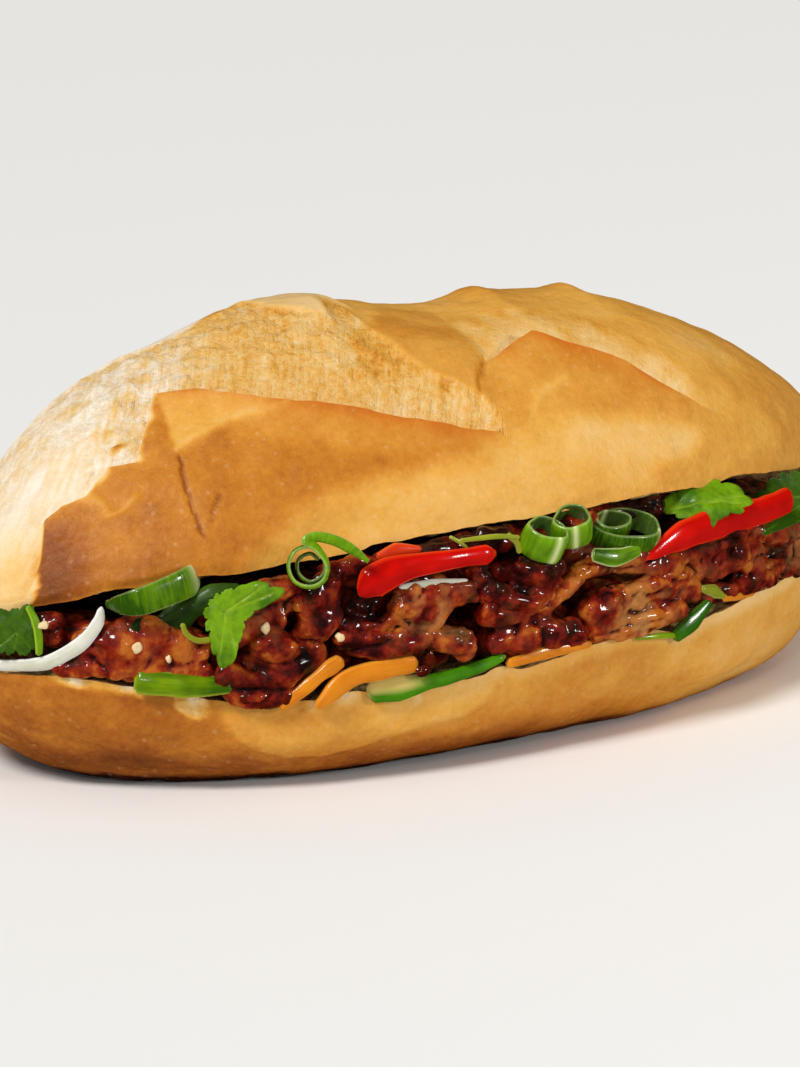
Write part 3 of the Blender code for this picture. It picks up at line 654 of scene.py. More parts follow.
class LidMark(Enum):
    """Patches of the lid's crust, each with how far it was baked. The dark front patches also carry painted
    shade, and the palest patch at the left carries painted light.
    """

    # Partly the crust's own browning, partly painted shade on the front face that turns from the light.
    BROWN_FRONT = (Patch(((-86, 0), (-83, 24), (-80.2, 29), (-73.5, 29), (-68.2, 34), (-63.6, 32),
                          (-60.7, 37), (-56, 46), (-48, 42), (-30, 31), (-12, 22.5), (-2, 19),
                          (-14, 14), (-34, 14), (-44, 8), (-50, 3), (-54, -2)), 3.5), 0.70)
    # Partly the crust's own browning, partly painted shade on the dim left front.
    DARK_LEFT = (Patch(((-83, 6), (-80, 22), (-70, 24), (-62, 18), (-54, 20), (-50, 8), (-60, 4),
                        (-72, 2)), 5.0), 0.73)
    # Partly the crust's own browning, partly painted shade on the steep face below the ear.
    BELOW_EAR = (Patch(((-54, 44), (-46, 39.5), (-30, 30.5), (-12, 21.8), (-4, 19), (-12, 16),
                        (-28, 21), (-42, 27)), 2.5), 0.61)
    FOLD = (Patch(((-55.8, 45.5), (-47, 41), (-38, 34.8), (-41.7, 33), (-46.5, 33), (-51.9, 32.4),
                   (-56.4, 31.8)), 0.8), 0.50)
    BRIDGE = (Patch(((-9.5, 51), (-4, 57), (6, 56), (5.4, 45), (6.2, 34.8), (0.8, 25.8), (-7.7, 32.4),
                     (-10.8, 42.6)), 1.6), 0.56)
    FRONT_RIGHT = (Patch(((0, 27), (6.2, 34.8), (11, 37.2), (17.6, 40.2), (24.4, 35.2), (31.7, 31.8),
                          (38.9, 25.8), (38, 19), (28, 21), (19.1, 27), (13, 25.2), (9, 20)), 2.0),
                   0.575)
    DEEP_ORANGE = (Patch(((19, 38), (24.4, 35), (31.7, 31.6), (38.9, 25.6), (36.5, 20), (31, 24),
                          (24, 30)), 2.2), 0.60)
    PALE_FRONT = (Patch(((-28, 2), (-24, 12), (-6, 14), (10, 20), (24, 17), (36, 15), (30, 4)), 5.0),
                  0.465)
    PALE_PATCH = (Patch(((15, 16.8), (28, 18), (46.5, 13.8), (41.7, 8.4), (24.4, 8.4), (14.6, 12)),
                        3.0), 0.40)
    TOP_PLATES = (Patch(((-29, 84), (-27, 69), (-26, 60), (-22, 54.6), (-18.4, 50.5), (-14, 62),
                         (-10.5, 58), (-12, 78)), 1.8), 0.27)
    BRIDGE_TOP = (Patch(((-11.8, 47), (-7, 51), (-3, 50), (5, 46), (4, 40), (-9, 43)), 1.4), 0.63)
    # Partly the crust's own pale skin, partly painted light where the left end faces the lamp.
    PALE_LEFT = (Patch(((-99, -5), (-86, -2), (-84, 7.2), (-81.9, 23.4), (-80.2, 28.8), (-77, 30.6),
                        (-73.5, 28.8), (-68.2, 34.2), (-63.6, 31.8), (-60.7, 37.2), (-55.9, 45.6),
                        (-40, 62), (-29, 80), (-34, 110), (-60, 116), (-99, 110)), 0.7), 0.07)


# Folds and cracks of the lid's crust: how strong each is, how far it reaches, and its route. The folds are
# painted paler as highlights and the cracks darker as shade.
FOLDS = (
    (1.0, 1.0, ((-56.4, 31.8), (-51.9, 32.4), (-46.5, 33.0), (-41.7, 33.0), (-36, 33.0))),
    (1.0, 0.8, ((-73.5, 28.8), (-70.9, 21.6), (-66.0, 23.4))),
    (0.8, 0.9, ((10.0, 22.8), (13.0, 25.2), (19.1, 27.0))),
)
CRACKS = (
    (1.0, 0.38, ((-57.0, 30.0), (-58.2, 17.0), (-57.6, 9.6))),
    (0.8, 0.35, ((-52.5, 17.4), (-55.7, 13.2))),
    (0.8, 0.4, ((5.4, 34.8), (2.3, 30.0), (0.8, 25.8))),
)


# Marks of the base's crust, with places along the roll and down from the lip: the scalloped patch under the
# carrots, a torn corner, and where the lip is torn, with how wide each tear is.
SCALLOP = Patch(((-59, -3), (-57, 4.2), (-53.8, 10.8), (-46, 16.5), (-38, 18), (-31, 15), (-26.6, 10.2),
                 (-20.6, 8.2), (-13, 8), (-7, 3), (-3, -3)), 1.3)
TORN_CORNER = Patch(((-66, -2), (-65, 2.6), (-61, 4.2), (-58.8, 2), (-59, -2)), 0.6)
LIP_TEARS = ((-80.0, 4.0), (-72.5, 3.0), (-40.5, 1.6), (-35.0, 1.8), (-29.0, 1.8), (-22.0, 1.2))


@dataclass
class Roll:
    """The roll: a long loaf, slit along its front, whose lid is turned up about a hinge at the back.

    How far a place was baked runs from 0 for raw dough to 1 for burnt crust.
    """

    length: float = 196.0
    width: float = 91.0
    cut_height: float = 22.0
    base_depth: float = 27.2
    lid_height: float = 46.2
    width_taper: float = 2.16
    base_taper: float = 4.85
    lid_taper: float = 2.43
    tip_rounding: float = 1.56
    base_squareness: float = 2.7
    lid_squareness: float = 1.8
    hinge_y: float = 33.0
    opening: float = math.radians(17.3)
    fold: float = math.radians(60.0)
    lid_skew: float = 0.023
    uncut_strip: float = 7.0
    lip_sag: float = 6.7
    tip_start: float = 95.5
    fibre_slant: tuple = (0.447, 0.894)
    # Where the unevenness of each lip's torn edge is drawn from.
    lid_lip: float = 7.0
    base_lip: float = 21.0
    # How far the lid, its back, the beds of its slashes, the base, its tears and the tips were baked.
    plain_bake: float = 0.495
    back_bake: float = 0.57
    bed_bake: float = 0.20
    right_bed_bake: float = 0.26
    base_bake: float = 0.625
    tear_bake: float = 0.30
    tip_bake: float = 0.5
    swells: tuple = ((-98, -1.0), (-84, -2.6), (-74, -0.4), (-62, 1.4), (-52, 1.8), (-43, 1.0), (-33, 2.2),
                     (-26, 2.1), (-17, 2.4), (-8, -0.2), (5, -3.2), (14, -3.0), (22, -1.4), (31, -1.5),
                     (40, -0.6), (49, -0.8), (57, -1.3), (70, -1.4), (98, 0))
    # How many sections the crust and the crumb have, and how many rows of vertices.
    stations: int = 470
    rows_below_ear: int = 74
    rows_above_ear: int = 134
    base_rows: int = 130
    crumb_stations: int = 380
    crumb_rows: int = 60
    uneven: Unevenness = field(default_factory=lambda: Unevenness(11))

    def taper(self, x: np.ndarray, power: float) -> np.ndarray:
        """Says how much of its middle size the roll keeps at each place along it."""
        share = np.clip(np.abs(x) / (self.length / 2), 0.0, 1.0)
        return np.clip(1.0 - share**power, 0.0, None) ** (1.0 / self.tip_rounding)

    def half_width(self, x: np.ndarray) -> np.ndarray:
        """Gives half the width of the roll at each place along it."""
        return self.width / 2 * self.taper(x, self.width_taper)

    def base_cut(self, x: np.ndarray, y: np.ndarray) -> np.ndarray:
        """Gives the height of the lower cut face, whose front lip the filling presses down."""
        front = 1.0 / (1.0 + np.exp((y + 10.0) / 8.0))
        pressed = self.lip_sag * bump_of(-28.0, 39.0, x) + 1.5 * bump_of(46.0, 13.0, x)
        pressed = pressed + 1.3 * bump_of(-45.0, 9.0, x) + 1.7 * bump_of(35.0, 7.0, x)
        return self.cut_height + (2.4 * smooth(-52.0, -84.0, x) - pressed) * front

    def mouth_end(self, x: np.ndarray) -> np.ndarray:
        """Says how far back the slit goes."""
        return np.minimum(self.hinge_y, self.half_width(x) - self.uncut_strip)

    def lip_wave(self, x: np.ndarray, side: float) -> np.ndarray:
        """Gives the torn edge of a lip, up and down, where side tells the lid's from the base's."""
        line = place(x, side + 0.0 * x, 0.0 * x)
        return 0.55 * self.uneven.layered(line, 9.0, 4) * smooth(97.0, 90.0, np.abs(x))

    def torn_lip(self, x: np.ndarray) -> np.ndarray:
        """Gives the base's torn edge, with the flap of bread that stands up round the carrots."""
        line = place(x, 50.0 + 0.0 * x, 0.0 * x)
        flap = smooth(-51.0, -44.0, x) * smooth(2.0, -6.0, x) * (1.5 + 1.6 * bump_of(-32.0, 8.0, x))
        return self.lip_wave(x, self.base_lip) + flap * (1.0 + 0.35 * self.uneven.layered(line, 4.0, 2))

    def section(
        self, x: np.ndarray, degrees: np.ndarray, height: np.ndarray, squareness: float, relief: np.ndarray
    ) -> tuple[np.ndarray, np.ndarray]:
        """Gives half a section of the closed roll, from the front lip at 0 degrees to the back at 180.

        Args:
            x: Places along the roll.
            degrees: Places round the section.
            height: How high the half is in its middle.
            squareness: How square its corners are.
            relief: How far the crust stands out.

        Returns:
            Each point's y, and its height over the cut.
        """
        turn = np.radians(degrees)
        cosine, sine = np.cos(turn), np.sin(turn)
        wide = self.half_width(x)
        y = -wide * np.sign(cosine) * np.abs(cosine) ** (2.0 / squareness)
        z = height * np.abs(sine) ** (2.0 / squareness)
        normal_y, normal_z = -cosine / np.maximum(wide, 1.0), sine / np.maximum(height, 1.0)
        size = np.maximum(np.hypot(normal_y, normal_z), 1e-9)
        fade = smooth(0.0, 5.0, degrees) * (1.0 - smooth(165.0, 180.0, degrees)) * smooth(0.0, 8.0, wide)
        return y + relief * fade * normal_y / size, z + relief * fade * normal_z / size

    def turned_up(self, x: np.ndarray, y: np.ndarray, z: np.ndarray) -> np.ndarray:
        """Turns points of the closed lid up about the hinge."""
        reach = np.hypot(y - self.hinge_y, z)
        angle = np.arctan2(z, y - self.hinge_y)
        angle = np.where(angle < -math.pi / 2, angle + 2.0 * math.pi, angle)
        angle = angle - self.opening * smooth(0.0, self.fold, angle)
        height = self.cut_height + reach * np.sin(angle) + self.lid_skew * x
        return place(x, self.hinge_y + reach * np.cos(angle), height)

    def stations_along(self, count: int) -> np.ndarray:
        """Spreads the sections along the roll, closer together at the tips."""
        even = np.linspace(-1.0, 1.0, count)
        return self.length / 2 * (0.62 * even + 0.38 * np.sin(even * math.pi / 2))

    def build(self) -> None:
        """Makes the lid's crust, the base's crust and the crumb of the cut faces."""
        self.build_lid()
        self.build_base()
        self.build_crumb()

    def swell(self, x: np.ndarray, up: np.ndarray) -> np.ndarray:
        """Gives the broad swells along the top of the lid."""
        even = np.arange(-104.0, 105.0)
        weights = np.exp(-(np.arange(-6, 7) / 3.2) ** 2)
        heights = np.convolve(np.interp(even, *zip(*self.swells)), weights / weights.sum(), "same")
        peaks = bump_of(21.0, 2.6, x) + 0.9 * bump_of(41.0, 2.6, x)
        broad = smooth(30.0, 56.0, up) * (1.0 - smooth(88.0, 118.0, up))
        return np.interp(x, even, heights) * broad + 1.1 * peaks * bump_of(64.0, 9.0, up)

    @staticmethod
    def lines_on(x: np.ndarray, up: np.ndarray, lines: tuple) -> np.ndarray:
        """Adds up how near each place is to each fold or crack, times how strong it is."""
        return sum(weight * near_route(x, up, route, reach) for weight, reach, route in lines)

    def lid_form(self, x: np.ndarray, up: np.ndarray) -> tuple[np.ndarray, dict]:
        """Works out the lid's relief and how far each place was baked.

        Args:
            x: Places along the roll.
            up: Places up the crust.

        Returns:
            The height of the relief, and the values that the crust's finish reads.
        """
        n = self.uneven
        flat = place(x, up, 0.0 * x)
        torn_x, torn_up = x + 0.9 * n.layered(flat, 6.0), up + 0.9 * n.layered(flat + 40.0, 6.0)
        left, left_bed, left_share, left_under = LEFT_SLASH.relief(x, up, n)
        right, right_bed, right_share, right_under = RIGHT_SLASH.relief(x, up, n)
        # Stretched fibres run slantwise over the beds, and parts of the left bed are torn to crumbs.
        lean, rise = self.fibre_slant
        across, along = lean * x + rise * up, rise * x - lean * up
        threads = place(along / 0.9, across / 7.0, 0.0 * x)
        fibres = n.layered(threads, 1.0, 2)
        grains = n.layered(flat, 2.2, 2)
        crumbly = smooth(0.25, 0.7, left_share + 0.3 * n.noise(flat, 9.0)) * left_bed
        crumbly = np.maximum(crumbly, smooth(-36.0, -50.0, x) * left_bed)
        plate = smooth(-66.0, -76.0, x) * smooth(58.0, 44.0, up)
        crumbly = crumbly * (1.0 - 0.85 * plate) * (1.0 - 0.6 * smooth(-58.0, -74.0, x))
        bed = np.clip(left_bed + 0.25 * right_bed, 0.0, 1.0) * (1.0 - 0.85 * plate)
        # The relief: swells and slashes, then raised plates of skin, folds, cracks and blisters.
        height = self.swell(x, up) + left + right + 0.4 * n.noise(flat, 17.0) + 0.2 * n.layered(flat, 6.0)
        height = height + 0.32 * bed * (1.0 - crumbly) * fibres + 0.65 * crumbly * np.maximum(grains, -0.4)
        skin = LidMark.BROWN_FRONT.value[0].cover(x, up)
        height = height + 0.5 * skin * smooth(-48.0, -60.0, x)
        plates = LidMark.TOP_PLATES.value[0].cover(torn_x, torn_up)
        height = height + 0.8 * plates + 0.5 * LidMark.BRIDGE.value[0].cover(torn_x, torn_up)
        folds, cracks = (self.lines_on(torn_x, torn_up, lines) for lines in (FOLDS, CRACKS))
        height = height + 0.35 * folds - 0.5 * cracks
        height = height + 0.3 * near_route(x, up, ((-57.4, 10.0), (-57.2, 3.0)), 0.7)
        blisters = np.maximum(0.0, n.noise(flat, 2.6) - 0.3)
        blisters = blisters * bump_of(-65.0, 4.5, x) * bump_of(39.0, 4.5, up)
        height = height + 1.6 * blisters
        # How far baked, with painted light and shade in places: broad tones and patches, then the beds, the
        # singed edges with painted shade under the ears, and the back.
        bake = self.plain_bake + 0.03 * smooth(38.0, 24.0, up)
        bake = bake + 0.05 * n.noise(flat, 30.0) + 0.045 * n.noise(flat, 12.0)
        front_side = smooth(112.0, 78.0, up + 5.0 * n.noise(flat, 14.0))
        for mark in LidMark:
            patch, value = mark.value
            bake = bake + (value - bake) * patch.cover(torn_x, torn_up) * front_side
        shade = n.layered(flat + 70.0, 5.0)
        bed_bake = self.bed_bake + 0.15 * crumbly * smooth(-0.1, 0.6, shade)
        bed_bake = bed_bake + 0.19 * smooth(-50.0, -36.0, x) + 0.07 * fibres
        bed_bake = bed_bake - 0.11 * smooth(-44.0, -58.0, x)
        # Darker low at the far left of the bed: painted shade where the crust curves away from the light.
        bed_bake = bed_bake + 0.13 * smooth(30.0, 8.0, up) * smooth(-70.0, -84.0, x)
        bed_bake = bed_bake - 0.22 * smooth(0.07, 0.0, left_share) * smooth(-60.0, -54.0, x)
        bake = bake + (bed_bake - bake) * left_bed * LEFT_SLASH.paleness
        pale_bed = self.right_bed_bake + 0.28 * right_share + 0.10 * n.noise(flat, 3.0)
        bake = bake + (pale_bed - bake) * right_bed * RIGHT_SLASH.paleness
        # Partly the darker bake of the ears' edges, partly painted shade in the band under each raised ear.
        singed = 0.8 * left_under * smooth(-60.0, -54.0, x) + right_under
        singed = np.clip(singed * (0.8 + 0.5 * n.noise(flat, 5.0)), 0.0, 1.0)
        # The far left of the lid is darker lower down: painted shade where the crust curves away from the
        # light.
        bake = bake + 0.10 * singed + 0.22 * smooth(40.0, 14.0, up) * smooth(-72.0, -84.0, x)
        # Paler along the folds is a painted highlight; darker along the cracks is painted shade.
        bake = bake - 0.10 * folds + 0.16 * cracks + 0.9 * blisters
        bake = bake + (self.back_bake - bake) * smooth(112.0, 138.0, up)
        bake = bake + 0.02 * smooth(100.0, 132.0, up) + 0.05 * smooth(55.0, 75.0, up) * smooth(0.0, 24.0, x)
        bed = np.maximum(bed * (1.0 - 0.4 * smooth(-58.0, -74.0, x)), 0.5 * crumbly)
        return height, {"bake": bake, "bed": bed, "singed": singed, "threads": threads}

    def build_lid(self) -> None:
        """Makes the crust of the lid, whose rows of vertices are closest at the ears' edges."""
        along = self.stations_along(self.stations)
        n = self.uneven
        which = smooth(1.0, 6.0, along)
        edge = LEFT_SLASH.front(along, n) * (1.0 - which) + RIGHT_SLASH.front(along, n) * which
        below = 1.0 - (1.0 - np.linspace(0.0, 1.0, self.rows_below_ear, endpoint=False)) ** 1.5
        above = np.linspace(0.0, 1.0, self.rows_above_ear) ** 1.7
        whole = CRUST_MM_PER_DEGREE * 180.0
        up = np.hstack([edge[:, None] * below, edge[:, None] + (whole - edge[:, None]) * above])
        x = np.broadcast_to(along[:, None], up.shape)
        height, values = self.lid_form(x, up)
        degrees = up / CRUST_MM_PER_DEGREE
        tall = self.lid_height * self.taper(x, self.lid_taper)
        y, z = self.section(x, degrees, tall, self.lid_squareness, height)
        points = self.turned_up(x, y, z + self.lip_wave(x, self.lid_lip) * smooth(6.0, 0.0, up))
        flat_values = {key: v.reshape(-1, 3) if v.ndim == 3 else v.ravel() for key, v in values.items()}
        faces = grid_faces(len(along), up.shape[1])[:, ::-1].tolist()
        piece = make_piece("lid_crust", points.reshape(-1, 3), faces, CrustFinish(), flat_values)
        ends = np.empty(2 * len(piece.data.edges), np.int32)
        piece.data.edges.foreach_get("vertices", ends)
        on_ear = (ends.reshape(-1, 2) % up.shape[1] == self.rows_below_ear).all(axis=1)
        piece.data.attributes.new("sharp_edge", "BOOLEAN", "EDGE").data.foreach_set("value", on_ear)
        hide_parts("bread_roll")

    def build_base(self) -> None:
        """Makes the crust of the base, flat and darkest underneath, partly where it lay in the oven and
        partly as painted shade.
        """
        steps = self.base_rows
        along = self.stations_along(self.stations)
        share = np.linspace(0.0, 1.0, steps)
        x, turn = np.meshgrid(along, 180.0 * (0.6 * share + 0.4 * share**2), indexing="ij")
        down = CRUST_MM_PER_DEGREE * turn
        flat = place(x, -down, 0.0 * x)
        n = self.uneven
        torn_x, torn_down = x + 0.8 * n.layered(flat, 5.0), down + 0.8 * n.layered(flat + 40.0, 5.0)
        scallop = SCALLOP.cover(torn_x, torn_down)
        tears = TORN_CORNER.cover(torn_x, torn_down)
        for middle, wide in LIP_TEARS:
            tears = np.maximum(tears, bump_of(middle, wide, torn_x) * smooth(2.2, 0.4, torn_down))
        height = 0.45 * n.noise(flat, 17.0) + 0.2 * n.layered(flat, 5.0) + 0.45 * scallop
        height = height - 0.8 * tears * (0.6 + 0.6 * n.noise(flat, 1.6))
        deep = self.base_depth * self.taper(x, self.base_taper)
        y, drop = self.section(x, turn, deep, self.base_squareness, height)
        z = np.maximum(self.cut_height - drop, 0.0)
        teeth = np.maximum(0.0, n.layered(flat + 20.0, 4.0)) * smooth(-40.0, -66.0, x) * smooth(7.0, 2.0, z)
        z = z - (self.cut_height - self.base_cut(x, y)) * (z / self.cut_height) + 1.6 * teeth
        z = z + self.torn_lip(x) * smooth(5.0, 0.0, down)
        # How far baked: darker at the left and underneath, paler at the right, the lip and the tears. The
        # darkening towards the bottom is partly painted shade.
        bake = self.base_bake + 0.05 * n.noise(flat, 26.0) + 0.04 * n.noise(flat, 9.0)
        bake = bake + 0.13 * smooth(-30.0, -64.0, x) * smooth(120.0, 60.0, down)
        bake = bake - 0.15 * smooth(5.0, 50.0, x)
        bake = bake - 0.09 * scallop
        # Darker towards the bottom: partly the crust's own bake, partly painted shade.
        bake = bake + 0.05 * smooth(12.0, 4.0, z) * (bump_of(-14.0, 30.0, x) - smooth(-48.0, -66.0, x))
        bake = bake + 0.13 * smooth(11.0, 4.0, z) * (1.0 - 0.8 * smooth(0.0, 60.0, x))
        bake = bake + 0.24 * smooth(3.2, 0.4, z)
        bake = bake - 0.12 * smooth(3.5, 0.0, down) * smooth(-20.0, 20.0, x) - 0.05 * smooth(3.0, 0.0, down)
        bake = bake + (self.tear_bake + 0.25 * n.noise(flat, 2.0) - bake) * tears
        # The back edge is stretched up to the lid's, and so is the front edge at the uncut tips.
        base = place(x, y, z)
        rise = self.hinge_wall(along, 1.0, base[:, -1])
        points, faces = np.concatenate([base, rise], axis=1), grid_faces(len(along), steps + rise.shape[1])
        grown = ((0, 0), (0, rise.shape[1]))
        bake = (np.pad(bake, grown, "edge") - 0.03 * (np.arange(points.shape[1]) >= steps)).ravel()
        tears = np.pad(tears, grown).ravel()
        threads = np.concatenate([flat, rise / 2.0], axis=1).reshape(-1, 3)
        points = points.reshape(-1, 3)
        for tip in (along[along <= -self.tip_start], along[along >= self.tip_start]):
            edge = -self.half_width(tip)
            lip = place(tip, edge, self.base_cut(tip, edge) + self.lip_wave(tip, self.base_lip))
            wall = self.hinge_wall(tip, -1.0, lip)[:, ::-1]
            faces = np.vstack([faces, len(points) + grid_faces(len(tip), wall.shape[1])])
            wall = wall.reshape(-1, 3)
            points, threads = np.vstack([points, wall]), np.vstack([threads, wall])
            bake = np.append(bake, np.full(len(wall), self.tip_bake))
            tears = np.append(tears, np.zeros(len(wall)))
        values = {"bake": bake, "bed": 0.6 * tears, "threads": threads}
        piece = make_piece("base_crust", points, faces.tolist(), CrustFinish(), values)
        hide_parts("bread_roll")

    def hinge_wall(self, x: np.ndarray, side: float, foot: np.ndarray) -> np.ndarray:
        """Stretches crust from the base's edge up to the lid's where the roll stayed uncut.

        Args:
            x: Places along the roll.
            side: 1 for the back, -1 for the front.
            foot: The base's edge.

        Returns:
            Rows of points that rise from just above the foot to the lid's edge.
        """
        share = np.linspace(0.0, 1.0, 12)[1:, None]
        head = self.turned_up(x, side * self.half_width(x), 0.0 * x)[:, None]
        wall = foot[:, None] * (1.0 - share) + head * share
        tall = np.linalg.norm(head - foot[:, None], axis=-1)
        belly = 0.10 * tall * np.sin(math.pi * share[:, 0])
        belly = belly + 0.25 * self.uneven.layered(wall, 4.0) * smooth(1.0, 4.0, tall)
        wall[..., 1] += side * belly * smooth(0.0, 6.0, self.half_width(x))[:, None]
        return wall

    def build_crumb(self) -> None:
        """Makes the two cut faces and the fold between them as one sheet of crumb."""
        steps = self.crumb_rows
        along = self.stations_along(self.crumb_stations)
        x, share = np.meshgrid(along, np.linspace(0.0, 1.0, steps) ** 1.4, indexing="ij")
        wide = self.half_width(x)
        y = -wide + share * np.maximum(self.mouth_end(x) + wide, 0.0)
        n = self.uneven
        inside = smooth(0.0, 0.045, share)
        low = self.base_cut(x, y)
        pores = n.layered(place(x, y, low), 3.2, 3) + 0.8 * n.noise(place(x, y, low), 9.0)
        low = low + (0.6 * pores - 0.3) * inside + self.torn_lip(x) * (1.0 - inside)
        upper = self.turned_up(x, y, 0.0 * x)
        above = n.layered(place(x, y + 77.0, low), 3.2, 3) + 0.8 * n.noise(place(x, y + 60.0, low), 9.0)
        upper[..., 2] += self.lip_wave(x, self.lid_lip) * (1.0 - inside) - (0.6 * above - 0.3) * inside
        points = np.concatenate([place(x, y, low), upper[:, ::-1]], axis=1)
        soak = smooth(0.55, -0.25, n.layered(place(x, y, 0.0 * x), 11.0)) * smooth(0.12, 0.30, share)
        soak = soak * smooth(95.0, 80.0, np.abs(x))
        both = np.concatenate([soak, 0.5 * soak[:, ::-1]], axis=1)
        # Brighter gold at the front lip: partly its own golden torn edge, partly painted light where it lies
        # in shade.
        gold = smooth(0.24, 0.10, np.concatenate([share, share[:, ::-1]], axis=1))
        faces = grid_faces(len(along), 2 * steps)[:, ::-1].tolist()
        values = {"soak": both.ravel(), "gold": gold.ravel()}
        piece = make_piece("crumb", points.reshape(-1, 3), faces, CrumbFinish(), values)
        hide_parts("bread_roll")


@dataclass(frozen=True)
class Sweep:
    """A band swept along a curve, rounded at its edges and ends."""

    points: tuple
    widths: tuple
    thickness: float
    direction: tuple
    cup: float = 0.12
    steps: int = 48
    round_steps: int = 20
    wavy: float = 0.25
    blunt: float = 0.3
    ragged: float = 0.10

    def form(self, seed: int) -> tuple[np.ndarray, list, dict]:
        """Makes the band.

        Args:
            seed: What its unevenness is drawn from.

        Returns:
            Its points, its faces, and the shares of each point along and across it, with its threads.
        """
        shares = np.linspace(0.0, 1.0, self.steps)
        middle = along_curve(self.points, shares)
        forward = unit(np.gradient(middle, axis=0))
        side = np.array(self.direction, float) + 0.0 * middle
        side = unit(side - (side * forward).sum(axis=1, keepdims=True) * forward)
        facing = np.cross(forward, side)
        facing = facing * np.where(facing[:, 1:2] > 0.0, -1.0, 1.0)
        n = Unevenness(seed)
        middle = middle + self.wavy * facing * n.noise(middle, 6.0)[:, None]
        near_end = np.clip(np.minimum(shares, 1.0 - shares) * self.steps / 2.0, 0.0, 1.0) ** 0.5
        width = np.interp(shares, np.linspace(0.0, 1.0, len(self.widths)), self.widths)
        width = width * (1.0 + self.ragged * n.noise(middle + 20.0, 3.6)) * np.maximum(near_end, self.blunt)
        turn = np.linspace(0.0, 2.0 * math.pi, self.round_steps, endpoint=False)
        across = np.sign(np.cos(turn)) * np.abs(np.cos(turn)) ** 0.5
        out = np.sign(np.sin(turn)) * np.abs(np.sin(turn)) ** 0.7
        half = (width / 2)[:, None] * across[None, :]
        thick = (self.thickness / 2 * np.maximum(near_end, 0.2))[:, None] * out[None, :]
        cupped = (self.cup * width)[:, None] * (1.0 - across[None, :] ** 2)
        rings = middle[:, None] + side[:, None] * half[..., None]
        rings = rings + facing[:, None] * (thick + cupped)[..., None]
        ends = middle[[0, -1]] + (self.cup * width[[0, -1], None]) * facing[[0, -1]]
        count, round_steps = self.steps, self.round_steps
        faces = grid_faces(count, round_steps, closed=True).tolist()
        top = (count - 1) * round_steps
        for a in range(round_steps):
            b = (a + 1) % round_steps
            faces += [[count * round_steps, b, a], [count * round_steps + 1, top + a, top + b]]
        length = np.linalg.norm(np.diff(middle, axis=0), axis=1).sum()
        across_all = np.broadcast_to(across, half.shape)
        shares_all = np.broadcast_to(shares[:, None], half.shape)
        threads = place(shares_all * length / 7.0, half, thick)
        values = {
            "along": np.append(shares_all.ravel(), (0.0, 1.0)),
            "across": np.append(across_all.ravel(), (0.0, 0.0)),
            "threads": np.vstack([threads.reshape(-1, 3), threads[0, :1], threads[-1, :1]]),
        }
        return np.vstack([rings.reshape(-1, 3), ends]), faces, values


